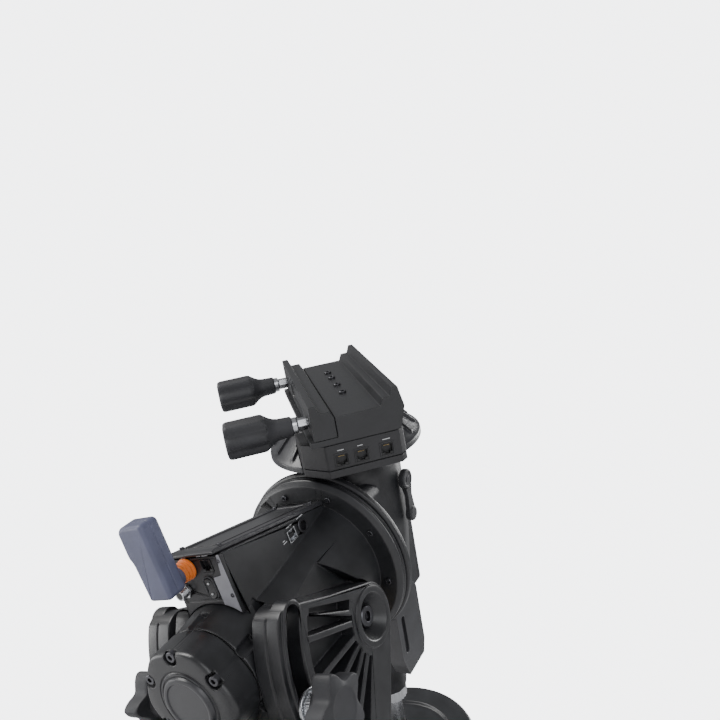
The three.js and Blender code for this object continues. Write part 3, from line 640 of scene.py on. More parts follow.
class MOUNT_OT_fork_arms(bpy.types.Operator):
    """Makes the two cast fork arms and the pivot pins in their cups"""

    bl_idname = "mount.fork_arms"
    bl_label = "Fork Arms"

    def execute(self, context):
        for name, side in SIDES:
            edge = sizes().edge
            settle(arm_shape(side), "arm_casting_" + name, ARMS, "yoke", "casting",
                   ("fork_arm_" + name,), edge)
            pin = revolved("x", [
                (0, side * 29), (7.4, side * 29), (8, side * 29.6), (8, side * (58 + GAP)),
                (9, side * (58 + GAP)),
                (9, side * 64), (8, side * 65), (4.6, side * 65), (4.2, side * 64.6), (4.2, side * 61),
                (0, side * 61),
            ], steps=64)
            cut(pin, prism("x", arc(3.9, 0, 300, 5), sided(side)(60, 66)))
            settle(pin, "pivot_bolt_" + name, ARMS, "yoke", "dark_steel", ("pivot_pin_" + name,),
                   0.0002)
        return {"FINISHED"}


# ---- Knobs: a grip with flutes round it ----
def grip(axis, outer, depth, span, centre, lobes, phase=0.0, power=1.0, edge=2.0, steps=120, end=0.0):
    """A fluted grip: rounded at both ends, with a shallow dish on the end face."""
    low, high = span
    way = 1 if high > low else -1
    soft = edge * 0.3
    profile = [
        (0, low), (outer - edge - depth, low, 0), (outer - soft, low + way * soft, depth),
        (outer, low + way * edge, depth), (outer, high - way * edge, depth),
        (outer - soft, high - way * soft, depth), (outer - edge - depth, high, 0),
    ]
    if end:
        profile += [(outer - edge - depth - 1.2, high, 0), (outer - edge - depth - 2.2, high - way * end, 0)]
    return revolved(axis, [*profile, (0, high - way * end)], centre, steps, lobes, phase, power)


class MOUNT_OT_azimuth(bpy.types.Operator):
    """Makes the azimuth screws and their fluted knobs"""

    bl_idname = "mount.azimuth"
    bl_label = "Azimuth Adjusters"

    def execute(self, context):
        centre = (PEG_Y, PUSH_Z)
        for name, side in SIDES:
            screw = rod("x", 4, sided(side)(7.6, 84), centre, 48, edge=0.8)
            settle(screw, "push_rod_" + name, YOKE, "azimuth_screw_" + name, "steel",
                   ("azimuth_screw_" + name,))
            knob = grip("x", 16.5, 2.4, (side * 86, side * 103), centre, 7, edge=2.2, end=0.9)
            joined(knob, revolved("x", [
                (0, side * 80.5), (7.4, side * 80.5), (8, side * 81.1), (8, side * 86.5), (0, side * 86.5),
            ], centre, 64))
            cut(knob, rod("x", 4 + GAP, sided(side)(80, 84 + GAP), centre, 48))
            settle(knob, "azimuth_grip_" + name, YOKE, "azimuth_knob_" + name, "knob",
                   ("azimuth_knob_" + name,), 0.0003)
        return {"FINISHED"}


def toothed(axis, radius, bore, span, teeth, depth):
    """A wheel whose rim carries fine teeth round a shallow throat."""
    low, high = span
    waist = 1.2
    profile = [
        (bore, low), (radius - 6, low, 0), (radius - 5.4, low + 0.8, 0), (radius - depth - 0.6, low + 0.8, 0),
        (radius, low + 1.6, depth), (radius - waist, (low + high) / 2, depth), (radius, high - 1.6, depth),
        (radius - depth - 0.6, high - 0.8, 0), (radius - 5.4, high - 0.8, 0), (radius - 6, high, 0),
        (bore, high), (bore, low),
    ]
    return revolved(axis, profile, (0, 0), teeth * 6, teeth, 0, 1.6)


def threaded(axis, radius, depth, pitch, span, centre, steps=36):
    """A worm: a rod whose surface follows a screw thread, with plain ends."""
    low, high = span
    per_turn = 6
    rows = max(2, round((high - low) / pitch * per_turn))
    points = [spot(axis, *centre, low)]
    for row in range(rows + 1):
        along = low + (high - low) * row / rows
        fade = min(1.0, row / per_turn, (rows - row) / per_turn)
        for i in range(steps):
            angle = 2 * math.pi * i / steps
            wave = 0.5 + 0.5 * math.cos(2 * math.pi * (along - low) / pitch - angle)
            reach = radius - depth * (1 - fade + fade * wave)
            sideways = (centre[0] + reach * math.cos(angle), centre[1] + reach * math.sin(angle))
            points.append(spot(axis, *sideways, along))
    points.append(spot(axis, *centre, high))
    faces = [(0, 1 + i, 1 + (i + 1) % steps) for i in range(steps)]
    last = len(points) - 1
    for row in range(rows):
        start = 1 + row * steps
        for i in range(steps):
            j = (i + 1) % steps
            faces.append((start + i, start + j, start + steps + j, start + steps + i))
    faces += [(last, last - steps + (i + 1) % steps, last - steps + i) for i in range(steps)]
    return shape(points, faces)


class MOUNT_OT_altitude(bpy.types.Operator):
    """Makes the altitude worm, its crank and the toothed sector it turns"""

    bl_idname = "mount.altitude"
    bl_label = "Altitude Drive"

    def execute(self, context):
        centre, y = (0, PIVOT[2] - WORM_DROP), PIVOT[1]
        shaft = rod("y", 5, (y - 150, y - 18.4), centre, 48, edge=0.8)
        worm = threaded("y", 6.6, 1.5, 3.1, (y - 18, y + 13), centre)
        settle(gathered(shaft, worm, rod("y", 5, (y - 19, y + 12), centre, 48)), "altitude_screw", YOKE,
               "altitude_drive", "steel", ("altitude_worm",))
        back, front = y - 146, y - 136
        hub = rod("y", 11, (back, front), centre, 64, edge=1.0)
        lever = prism("y", rounded((-6, 6), (centre[1], centre[1] + 42), 5.9, 10), (back + 2, front - 2))
        cut(joined(hub, lever), rod("y", 5 + GAP, (back - 1, front + 1), centre, 48))
        settle(hub, "crank_arm", YOKE, "altitude_drive", "casting", ("altitude_crank",),
               0.0006)
        handle = revolved("y", [
            (0, back - 34), (5.2, back - 34), (7, back - 33.2), (8.2, back - 31), (8.5, back - 28),
            (8.1, back - 22),
            (7.2, back - 14), (6.6, back - 7), (6.6, back - 2), (6.0, back - 1), (0, back - 1),
        ], (0, centre[1] + 36), 64)
        settle(handle, "crank_handle", YOKE, "altitude_drive", "knob", ())
        pivot = rod("y", 3, (back - 2, front - 3), (0, centre[1] + 36), 32, edge=0.4)
        settle(pivot, "crank_pivot", YOKE, "altitude_drive", "steel", ())

        ends = (270 - LATITUDE_RANGE[1] - 6, 270 - LATITUDE_RANGE[0] + 6)
        teeth, depth = 44, 1.4
        tips = arc(SECTOR_RADIUS, *ends, teeth * 4)
        roots = arc(SECTOR_RADIUS - depth, *ends, teeth * 4)
        rim = [root if i % 4 in (2, 3) else tip for i, (tip, root) in enumerate(zip(tips, roots))]
        sector = prism("x", [*rim, (10, -30 - GAP), (-92, -30 - GAP)], (-6, 6))
        cut(sector, prism("x", [*arc(118, 212, 258, 30), (-24, -46), (-76, -46)], (-7, 7)))
        settle(sector, "sector_gear", TILT, "polar_housing", "brass", ("altitude_sector",), 0.0003)
        return {"FINISHED"}


# ---- Polar housing ----
RING_Y = (44, 54)
SCREW_CIRCLE, SCREW_DEPTH, FLUTE = 38.5, 5, 5.2
RING_RADIUS = 83.6
REAR_Y = -118
COVER_Y = -145
WHEEL_RADIUS = 44
HUMP_Y = (-88, 45)


def lid_z(y):
    """The height of the sloping lid's face."""
    return RA_HEIGHT + 62 + (45 - y) * (31 / 137)


def sixths(radius):
    """The six places round the polar axis where the end cover's screws sit."""
    return arc(radius, 30, 330, 5, POLAR)


def polar_body(grow):
    """The turned body and its rim ring, made larger all round by a clearance."""
    front, back = RING_Y[1] + grow, RING_Y[0] - grow
    rim = RING_RADIUS + grow
    groove = [(rim, back + 6), (rim - 0.9, back + 6.5), (rim - 0.9, back + 7.3), (rim, back + 7.8)]
    return revolved("y", [
        (0, REAR_Y - grow), (43 + grow, REAR_Y - grow), (44 + grow, REAR_Y + 1 - grow), (47 + grow, -90),
        (50 + grow, -50), (54 + grow, -15), (59 + grow, 20), (62.3 + grow, 40), (62.3 + grow, back),
        (78.7 + grow, back), (rim, back + 3.5), *([] if grow else groove), (rim, front), (0, front),
    ], POLAR, 144)


class MOUNT_OT_polar_housing(bpy.types.Operator):
    """Makes the tilting housing of the polar axis, with its rim ring and electronics hump"""

    bl_idname = "mount.polar_housing"
    bl_label = "Polar Housing"

    def execute(self, context):
        cheek = prism("x", [
            (18, 21), (27, 5), (27, -10), (10, -30), (-92, -30), (-117, -14), (-117, 16), (-96, 40), (0, 40),
        ], (-43.5, 43.5))
        (back, front), low = HUMP_Y, 58
        hump = prism("x", [
            (back, low), (front, low), (front, lid_z(front) - 4 - 2 * GAP), (back, lid_z(back) - 4 - 2 * GAP),
        ], (-29, 29))

        def top(t):
            return (21.8 - 0.616 * t, 17 + 0.788 * t)

        swept = [(30.5, 0), top(0), top(250), (-200, 213), (-200, -200), (30.5, -200)]
        room = []
        for side in (-1, 1):
            span = sided(side)(ARM_X[0] - 0.8, 95)
            room += [prism("x", swept, span), rod("x", 30.5, span, steps=96)]
        housing = cut(joined(polar_body(0), cheek, hump), *room)
        chamber = prism("x", [
            (back - 1, 70.5), (44.4, 70.5), (44.4, lid_z(44)), (back - 1, lid_z(back)),
        ], (-25, 25))
        cut(
            housing,
            revolved("y", [(0, REAR_Y - 1), (37, REAR_Y - 1), (38, -74), (0, -74)], POLAR, 64),
            rod("y", 27 + GAP, (-75, -54), POLAR, 64),
            rod("y", 38, (-55, 26), POLAR, 64),
            rod("y", WHEEL_RADIUS + 3, (25.9, 45), POLAR, 64),
            rod("y", 31 + GAP, (40, RING_Y[1] + 1), POLAR, 64),
            chamber,
            rod("x", 8 + GAP, (-60, 60), steps=48),
            rod("x", 5 + GAP, (-60, 60), (-SLOT_RADIUS, 0), 32),
            block((20, 40), (-16, -4), (82, 93)),
            rod("x", 4.5, (20, 40), (6, 87.5), 48),
            prism("x", [(-86, 60), (-70, 60), (-78, 72)], (28.2, 34)),
            *[rod("y", FLUTE, (REAR_Y - 1, REAR_Y + 17), at, 48) for at in sixths(47)],
        )
        settle(housing, "polar_casting", TILT, "polar_housing", "casting", ("polar_housing",),
               sizes().edge)
        return {"FINISHED"}


class MOUNT_OT_polar_cover(bpy.types.Operator):
    """Makes the lobed rear cover of the polar axis with its centre cap"""

    bl_idname = "mount.polar_cover"
    bl_label = "Polar End Cover"

    def execute(self, context):
        outer, depth, lobes, phase = 44.4, 2.4, 6, 0
        shell = revolved("y", [
            (0, COVER_Y), (34, COVER_Y, 0), (41.4, COVER_Y, depth), (43.0, COVER_Y + 0.7, depth),
            (44.0, COVER_Y + 2.2, depth), (outer, COVER_Y + 4, depth), (outer, REAR_Y - 5, depth),
            (outer, REAR_Y - 1, depth * 0.7), (outer - 0.5, REAR_Y - GAP, depth * 0.7), (0, REAR_Y - GAP),
        ], POLAR, 192, lobes, phase, 0.8)
        hollow = rod("y", 30, (COVER_Y + 8, REAR_Y + 1), POLAR, 64)
        pockets = [
            rod("y", 6.2, (COVER_Y - 1, COVER_Y + SCREW_DEPTH), at, 48) for at in sixths(SCREW_CIRCLE)
        ]
        flutes = [rod("y", FLUTE, (COVER_Y - 1, REAR_Y + 1), at, 48) for at in sixths(outer + 2.6)]
        groove = cut(
            rod("y", 27.6, (COVER_Y - 1, COVER_Y + 0.8), POLAR, 96),
            rod("y", 26.2, (COVER_Y - 2, COVER_Y + 2), POLAR, 96),
        )
        cut(shell, hollow, *pockets, *flutes, groove)
        settle(shell, "polar_rear_cover", TILT, "polar_housing", "casting", ("polar_end_cover",),
               0.0006, 3)
        face = COVER_Y - 2.5
        cap = revolved("y", [
            (0, face + 0.9), (18.6, face + 0.9), (19.2, face + 0.2), (20, face), (21.6, face),
            (22.6, face + 0.4), (23.8, COVER_Y + 0.2), (23.8, COVER_Y + 0.5), (0, COVER_Y + 0.5),
        ], POLAR, 96)
        sweep = prism("y", band(24.6, 26, 40, 190, 48, POLAR), (COVER_Y - 0.6, COVER_Y + 0.3))
        settle(gathered(cap, sweep), "polar_centre_cap", TILT, "polar_housing", "grey", (),
               0.0002)
        return {"FINISHED"}


POWER_AT = (-19.5, 91)
NECK_AT = (-8.5, 109.5)
# chips on the board: x, z, width and height
CHIPS = [(-16, 80, 9, 9), (-2, 82, 13, 6), (-14, 93, 5, 5), (0, 94, 12, 4), (15, 80, 4, 12)]
# ticks beside the sockets: place on the face and length
PANEL_MARKS = [
    (5.5, 118, 4), (11, 118, 6), (-22, 99.5, 6), (-15, 99.5, 2), (-12, 117.5, 5), (14.6, 88, 4),
    (14.6, 93, 3),
]
SIDE_MARKS = [(-14, 95.2, 4), (-9, 95.2, 3), (2, 95.2, 3), (6, 95.2, 5), (-24, 88, 3), (-24, 86, 5)]


class MOUNT_OT_electronics(bpy.types.Operator):
    """Makes the electronics hump's lid, rear panel and trim, sockets, switch and control board"""

    bl_idname = "mount.electronics"
    bl_label = "Electronics"

    def execute(self, context):
        self.lid()
        self.panel()
        self.sockets()
        board = block((-22, 22), (-80, -78.4), (74, 104))
        settle(board, "drive_board", TILT, "polar_housing", "board", ("control_board",),
               0.0002)
        chips = [block((x, x + w), (-82.2, -79.9), (z, z + h)) for x, z, w, h in CHIPS]
        settle(gathered(*chips), "drive_board_chips", TILT, "polar_housing", "socket", (),
               0.0002)
        return {"FINISHED"}

    def lid(self):
        back, front = HUMP_Y
        lid = prism("x", [
            (back - 6, lid_z(back - 6) - 4), (front - 1.5, lid_z(front) - 4), (front - 1.5, lid_z(front)),
            (back - 1, lid_z(back)), (back - 6, lid_z(back - 6) - 2),
        ], (-30, 30))
        edges = [
            prism("y", [(side * 31, 130), (side * 31, 80), (side * 30.2, 80), (side * 24, 130)], (-200, 100))
            for side in (-1, 1)
        ]
        inner, outer = (
            prism("x", [
                (y0, lid_z(y0) - 8), (y1, lid_z(y1) - 8), (y1, lid_z(y1) - depth), (y0, lid_z(y0) - depth),
            ], (-half, half))
            for y0, y1, half, depth in ((back + 6, front - 7, 21, 4.5), (back + 3, front - 4, 24, 3.5))
        )
        cut(joined(lid, cut(outer, inner)), *edges, polar_body(GAP))
        step = prism("x", [
            (back + 8, lid_z(back + 8) - 0.7), (front - 12, lid_z(front - 12) - 0.7),
            (front - 12, lid_z(front) + 4), (back + 8, lid_z(back + 8) + 4),
        ], (-17, 17))
        cut(lid, step)
        settle(lid, "hump_top_lid", TILT, "polar_housing", "grey", ("hump_lid",), 0.0008, 3)

    def panel(self):
        back, front = HUMP_Y[0] - 4, HUMP_Y[0] - GAP
        high = lid_z(HUMP_Y[0]) - 5
        panel = prism("y", [(-29, 52), (29, 52), (29, high), (-29, high)], (back, front))
        cut(
            panel,
            rod("y", 47.6, (back - 1, front + 1), POLAR, 96),
            block((-14, -3), (back - 1, front + 1), (104, 115)),
            block((6, 18), (back - 1, front + 1), (104.5, 115.5)),
            rod("y", 4.6 + GAP, (back - 1, front + 1), POWER_AT, 48),
            prism("y", rounded((3, 12), (82, 100), 4.4, 10), (back - 1, front + 1)),
            prism("y", rounded((-25.5, 25.5), (79.5, high - 2), 2.5), (back - 1, back + 0.35)),
        )
        settle(panel, "rear_port_panel", TILT, "polar_housing", "plastic", ("rear_panel",),
               0.0004)
        rocker = prism("y", rounded((3.5, 11.5), (82.5, 99.5), 3.9, 12), (back - 2, front - 1))
        dish = rod("x", 26, (0, 15), (back - 26.4, 91), 96)
        cut(rocker, dish)
        dots = [rod("y", 0.9, (back - 1.8, back - 1.1), (7.5, z), 24) for z in (86.5, 95.5)]
        settle(rocker, "switch_rocker", TILT, "power_switch", "plastic", ("power_switch",),
               0.0005, 3)
        settle(gathered(*dots), "switch_dots", TILT, "power_switch", "mark", ())
        bezel = cut(
            prism("y", rounded((1.6, 13.4), (80.6, 101.4), 5.8, 12), (back - 0.9, back + 0.2)),
            prism("y", rounded((3, 12), (82, 100), 4.4, 12), (back - 2, back + 1)),
        )
        settle(bezel, "switch_bezel", TILT, "polar_housing", "knob", (), 0.0003)
        thread = threaded("y", 4.6, 0.45, 1.1, (back - 9, back - 3), POWER_AT, 48)
        plug = gathered(thread, rod("y", 4.1, (back - 8.6, front + 6), POWER_AT, 48))
        flats = prism("y", arc(6.4, 0, 300, 5, POWER_AT), (back - 3, back - GAP))
        soften(flats, 0.35)
        settle(gathered(plug, flats), "power_plug_barrel", TILT, "polar_housing", "steel",
               ("power_connector",))
        mouth = rod("y", 3.0, (back - 9.05, back - 8.9), POWER_AT, 48)
        settle(mouth, "power_plug_mouth", TILT, "polar_housing", "socket", ())
        marks = [block((x, x + w), (back + 0.1, back + 0.5), (z, z + 0.8)) for x, z, w in PANEL_MARKS]
        settle(gathered(*marks), "panel_marks", TILT, "polar_housing", "mark", ())

        trim = cut(
            prism("y", [
                (28.8, 60), (28.8, 118), (26.4, 118), (23.4, 101), (14.6, 99.5), (14.6, 60),
            ], (back - 0.5, back + 0.3)),
            rod("y", 48.6, (back - 1, back + 1), POLAR, 96),
        )
        settle(trim, "panel_trim", TILT, "polar_housing", "trim", (), 0.0003)

    def sockets(self):
        back = HUMP_Y[0] - 4
        settle(jack("y", -1, (12, 110), (11.4, 10.4), back), "rear_jack_shell", TILT, "polar_housing",
               "socket", (), 0.0002)
        shell = cut(
            block((25.2, 29.7), (-15.9, -4.1), (82.1, 92.9)),
            block((26, 31), (-14.6, -5.4), (83.3, 91.7)),
        )
        settle(shell, "usb_shell", TILT, "polar_housing", "steel", (), 0.0003)
        tongue = block((26, 28.9), (-13, -7), (85.6, 89.4))
        settle(tongue, "usb_tongue", TILT, "polar_housing", "plastic", (), 0.0003)
        at = (6, 87.5)
        nut = cut(rod("x", 6.4, (28.9, 30.6), at, 64, edge=0.4), rod("x", 4.4, (28, 32), at, 48))
        settle(nut, "round_socket_collar", TILT, "polar_housing", "dark_steel", ())
        core = cut(
            rod("x", 4.3, (25.2, 27), at, 48),
            *[rod("x", 0.45, (26, 28), hole, 12) for hole in arc(2.5, 0, 288, 4, at)],
        )
        settle(core, "round_socket_core", TILT, "polar_housing", "socket", ())
        ticks = [block((28.9, 29.25), (y, y + w), (z, z + 0.7)) for y, z, w in SIDE_MARKS]
        settle(gathered(*ticks), "side_marks", TILT, "polar_housing", "mark", ())
        clip = prism("x", rounded((-96, -88.6), (54, 60), 1.5), (24.5, 29.2))
        settle(clip, "panel_clip", TILT, "polar_housing", "aluminium", (), 0.0005)


def jack(axis, way, centre, size, face):
    """A modular jack: a square shell let into a face, with a latch notch."""
    (p, q), (w, h) = centre, size
    span = sorted((face + way * 0.2, face - way * 4))
    mouth = sorted((face + way * 1, face - way * 3.4))

    def slab(x0, x1, y0, y1, depth):
        return prism(axis, [(p + x0, q + y0), (p + x1, q + y0), (p + x1, q + y1), (p + x0, q + y1)], depth)

    half_w, half_h = w / 2, h / 2
    shell = slab(-half_w, half_w, -half_h, half_h, span)
    cut(
        shell,
        slab(-half_w + 0.9, half_w - 0.9, -half_h + 2.4, half_h - 0.9, mouth),
        slab(-2.2, 2.2, -half_h + 0.9, -half_h + 2.6, mouth),
    )
    return shell


class MOUNT_OT_module(bpy.types.Operator):
    """Makes the plug-in wireless module and its ribbed neck"""

    bl_idname = "mount.module"
    bl_label = "Wireless Module"

    def execute(self, context):
        outline = [
            *arc(4, 220, 270, 4, (-20, 105)), *arc(5, 270, 350, 6, (-4, 106)),
            *arc(4.5, 0, 80, 6, (-3.5, 158.5)),
            *arc(6, 95, 170, 6, (-21, 157)), (-27, 140), (-26.4, 137), (-25.2, 134.5), (-24.4, 131),
        ]
        centre = NECK_AT
        collar = revolved("y", [
            (0, -107), (8.2, -107), (8.2, -105), (7.2, -104), (7.2, -102.6), (6.8, -102.2), (0, -102.2),
        ], centre, 64)
        paddle = joined(pillow("y", outline, (-124, -106), 3.2), collar)
        settle(paddle, "module_case", TILT, "wireless_module", "module", ("wireless_module",),
               0)
        plug = HUMP_Y[0] - 4 - GAP
        profile = [(0, -82), (4.6, -82), (5, -82.4), (5, plug), (8.6, plug)]
        along = plug - 0.4
        for i in range(3):
            radius = 9 - 0.5 * i
            profile += [(radius, along), (radius, along - 1.5)]
            profile += [(radius - 1.3, along - 1.9), (radius - 1.3, along - 2.7)]
            along -= 3.1
        profile += [(0, -102.2 + GAP)]
        neck = revolved("y", profile, centre, 64)
        settle(neck, "module_plug_neck", TILT, "wireless_module", "orange", ("module_neck",),
               0.0003)
        return {"FINISHED"}


class MOUNT_OT_locks(bpy.types.Operator):
    """Makes the lobed latitude lock knobs and their steel studs"""

    bl_idname = "mount.locks"
    bl_label = "Latitude Locks"

    def execute(self, context):
        at = (-SLOT_RADIUS, 0)
        for name, side in SIDES:
            knob = grip("x", 26.8, 9.0, (side * 86, side * 104), at, 5, 18, 0.8, edge=3.2, steps=160, end=0.4)
            hub = revolved("x", [
                (0, side * 80.5), (11.4, side * 80.5), (12, side * 81.1), (13.5, side * 87), (0, side * 87),
            ], at, 96)
            cut(joined(knob, hub), rod("x", 5 + GAP, sided(side)(72, 98), at, 48))
            settle(knob, "lock_grip_" + name, TILT, "lock_" + name, "knob", ("lock_knob_" + name,),
                   0.0004)
            face = ARM_X[1] + 2 + GAP
            stud = revolved("x", [
                (0, side * 34), (4.4, side * 34), (5, side * 34.6), (5, side * face), (12.6, side * face),
                (13, side * (face + 0.4)), (13, side * (face + 2.1)), (12.6, side * (face + 2.5)),
                (9.6, side * (face + 2.5)), (9.6, side * (face + 3)), (10.5, side * (face + 3.4), 0.5),
                (10.5, side * 79.6, 0.5), (10.1, side * 80.1), (5, side * 80.1), (5, side * 97),
                (0, side * 97),
            ], at, 192, 32)
            settle(stud, "lock_screw_" + name, TILT, "lock_" + name, "steel", ("lock_stud_" + name,))
        return {"FINISHED"}


# ---- Worm drives inside the two housings ----
PULLEY_X = (-22, -16)
DEC_WHEEL_RADIUS = 38
RA_WORM = ((36, RA_HEIGHT + WHEEL_RADIUS + 6.6), 6.6)
RA_MOTOR = ((-20, 87.5), 4.4)
DEC_WORM = ((DEC_WHEEL_RADIUS + 6.6, 15), 6.6)
DEC_MOTOR = ((42, -50), 4.4)


def pulley(wheel):
    """A belt pulley with fine teeth between two flanges."""
    at, radius = wheel
    low, high = PULLEY_X
    return revolved("x", [
        (0, low), (radius, low, 0), (radius, low + 0.5, 0), (radius, low + 0.7, 0.5),
        (radius, high - 0.7, 0.5), (radius, high - 0.5, 0), (radius, high, 0), (0, high),
    ], at, 120, 20)


def belt(first, second, thickness, span):
    """A closed belt round two pulleys."""
    def loop(extra):
        (a, ra), (b, rb) = first, second
        ra, rb = ra + GAP, rb + GAP
        heading = math.degrees(math.atan2(b[1] - a[1], b[0] - a[0]))
        lean = math.degrees(math.asin((ra - rb) / math.dist(a, b)))
        return [
            *arc(rb + extra, heading - 90 + lean, heading + 90 - lean, 24, b),
            *arc(ra + extra, heading + 90 - lean, heading + 270 + lean, 30, a),
        ]
    return cut(prism("x", loop(thickness), span), prism("x", loop(0), (span[0] - 1, span[1] + 1)))


def ball_bearing(axis, outer, inner, span, centre=(0, 0)):
    """A sealed bearing: two races with a shield set a little back between them."""
    low, high = span
    t = (outer - inner) * 0.26
    s = 0.9
    return revolved(axis, [
        (inner, low + 0.4), (inner + 0.4, low), (inner + t, low), (inner + t, low + s), (outer - t, low + s),
        (outer - t, low), (outer - 0.4, low), (outer, low + 0.4), (outer, high - 0.4), (outer - 0.4, high),
        (outer - t, high), (outer - t, high - s), (inner + t, high - s), (inner + t, high),
        (inner + 0.4, high), (inner, high - 0.4), (inner, low + 0.4),
    ], centre, 96)


def motor_can(radius, span, at):
    """A motor's can, with a groove near its far end and a bore for its shaft."""
    low, high = span
    return revolved("x", [
        (0, low + 1), (3 + GAP, low + 1), (3 + GAP, low), (radius - 5, low), (radius - 4.6, low + 1.2),
        (radius - 1, low + 1.2),
        (radius, low + 2), (radius, high - 7), (radius - 0.5, high - 6.6), (radius - 0.5, high - 5.4),
        (radius, high - 5), (radius, high - 1), (radius - 1, high), (0, high),
    ], at, 96)


def drive(where, house, worm, motor, names, span, radius):
    """The worm, motor, pulleys and belt of one axis."""
    prefix, worm_body, motor_body = names
    at = worm[0]
    screw = threaded("x", 6, 1.3, 2.6, (-12, 12), at)
    shaft = rod("x", 3, (PULLEY_X[1] - 1, 20), at, 48, edge=0.4)
    settle(gathered(screw, shaft, pulley(worm)), prefix + "_drive_worm", where, worm_body, "steel",
           (worm_body,))
    wheel = rod("x", 3, (PULLEY_X[1] - 1, span[0] + 5), motor[0], 48)
    settle(gathered(pulley(motor), wheel), prefix + "_drive_pulley", where, motor_body, "brass",
           (motor_body,))
    can = motor_can(radius, span, motor[0])
    settle(can, prefix + "_drive_motor", where, house, "aluminium", (prefix + "_motor",))
    low, high = PULLEY_X
    loop = belt(worm, motor, 1.2, (low + 0.8, high - 0.8))
    settle(loop, prefix + "_drive_belt", where, house, "belt", (prefix + "_belt",))


class MOUNT_OT_drives(bpy.types.Operator):
    """Makes the worm drives, wheels, bearings and shafts of both axes"""

    bl_idname = "mount.drives"
    bl_label = "Worm Drives"

    def execute(self, context):
        drive(TILT, "polar_housing", RA_WORM, RA_MOTOR,
              ("polar", "polar_worm", "polar_motor_pulley"), (-9, 23), 14)
        drive(HOUR, "declination_housing", DEC_WORM, DEC_MOTOR,
              ("declination", "declination_worm", "declination_motor_pulley"), (-11, 19), 13)
        teeth = sizes().wheel_teeth
        bearings = (
            ("polar_bearing_front", "y", 31, (45 + GAP, RING_Y[1] - 1), POLAR, TILT, "polar_housing", 17),
            ("polar_bearing_rear", "y", 27, (-73, -56), POLAR, TILT, "polar_housing", 17),
            ("declination_bearing_top", "z", 26, (43, 58), (0, 0), HOUR, "declination_housing", 15),
            ("declination_bearing_bottom", "z", 22, (-58, -47), (0, 0), HOUR, "declination_housing", 15),
        )
        for node, axis, outer, span, centre, where, body, inner in bearings:
            item = ball_bearing(axis, outer, inner + GAP, span, centre)
            settle(item, node + "_races", where, body, "steel", (node,))
        end = -98 - DEC_ALONG
        shaft = revolved("y", [
            (8, end), (16, end), (17, end + 1), (17, FLANGE_Y - GAP), (0, FLANGE_Y - GAP), (0, end + 60),
            (8, end + 60), (8, end),
        ])
        settle(shaft, "polar_axle", HOUR, "declination_housing", "steel", ("polar_shaft",))
        wheel = toothed("y", WHEEL_RADIUS, 17 + GAP, (30 - DEC_ALONG, 42 - DEC_ALONG), teeth, 1.1)
        settle(wheel, "polar_gear_wheel", HOUR, "declination_housing", "brass", ("polar_worm_wheel",))
        axle = revolved("z", [
            (0, -56), (14.2, -56), (15, -55.2), (15, 77), (24.2, 77), (25, 77.8), (25, 85.2), (24.2, 86),
            (0, 86),
        ])
        settle(axle, "declination_axle", HEAD, "head", "steel", ("declination_shaft",))
        wheel = toothed("z", DEC_WHEEL_RADIUS, 15 + GAP, (9, 21), teeth, 1.0)
        settle(wheel, "declination_gear_wheel", HEAD, "head", "brass", ("declination_worm_wheel",))
        return {"FINISHED"}


# ---- Declination housing ----
FLANGE_Y = RING_Y[1] + 0.6 - DEC_ALONG


class MOUNT_OT_declination_housing(bpy.types.Operator):
    """Makes the declination housing with its drive cover and side cover"""

    bl_idname = "mount.declination_housing"
    bl_label = "Declination Housing"

    def execute(self, context):
        column = revolved("z", [
            (0, -205), (18, -205), (21, -186), (27, -170), (33, -140), (39, -100), (46, -40), (50, 0),
            (51, 66), (47, 76), (0, 76),
        ], steps=12)
        neck = prism("y", rounded((-44, 44), (-60, 62), 14, 10), (FLANGE_Y + 8, 0))
        flange = revolved("y", [
            (0, FLANGE_Y), (83, FLANGE_Y), (86, FLANGE_Y + 2), (86, FLANGE_Y + 7), (70, FLANGE_Y + 14),
            (0, FLANGE_Y + 24),
        ], steps=144)
        box = prism("y", rounded((-38, 26), (-108, 30), 7, 8), (18, 58))
        housing = joined(column, neck, flange, box)
        cut(
            housing,
            rod("z", 26 + GAP, (42, 77), steps=64),
            rod("z", DEC_WHEEL_RADIUS + 3, (-8, 42.1), steps=64),
            rod("z", 28, (-46, -7.9), steps=64),
            rod("z", 22 + GAP, (-58.5, -45.9), steps=64),
            prism("y", rounded((-33, 21), (-103, 25), 4), (14, 60)),
            rod("z", 9.5 + GAP, (-206, -160), steps=64),
            rod("x", 3.4, (46, 60), (-12, -18), 48),
            rod("x", 3.4, (-60, -46), (-12, -18), 48),
        )
        settle(housing, "declination_casting", HOUR, "declination_housing", "casting",
               ("declination_housing",), sizes().edge)
        lip = cut(
            prism("y", rounded((-32, 20), (-102, 24), 3.5), (55, 59)),
            prism("y", rounded((-29, 17), (-99, 21), 2), (54, 60)),
        )
        cover = joined(
            prism("y", rounded((-38, 26), (-108, 30), 7, 8), (58 + GAP, 63)),
            lip,
            prism("y", rounded((-34, 22), (-104, 26), 6, 8), (62.9, 66)),
        )
        cut(
            cover,
            prism("y", rounded((2, 6), (-72, 12), 1.9, 6), (64, 67)),
            prism("y", rounded((-27, -4), (-66, 6), 4, 6), (65.4, 67)),
        )
        side = prism("x", [
            (-33, -84), (-33, -140), (-24, -164), (14, -164), (20, -150), (20, -84), (12, -74), (-24, -74),
        ], (24, 42))
        cut(side, prism("x", rounded((-24, -17), (-138, -96), 3.4, 6), (38, 44)))
        settle(side, "column_side_cover", HOUR, "declination_housing", "grey", (), 0.0008)
        settle(cover, "drive_box_cover", HOUR, "declination_housing", "grey", ("declination_drive_cover",),
               0.0008)
        return {"FINISHED"}


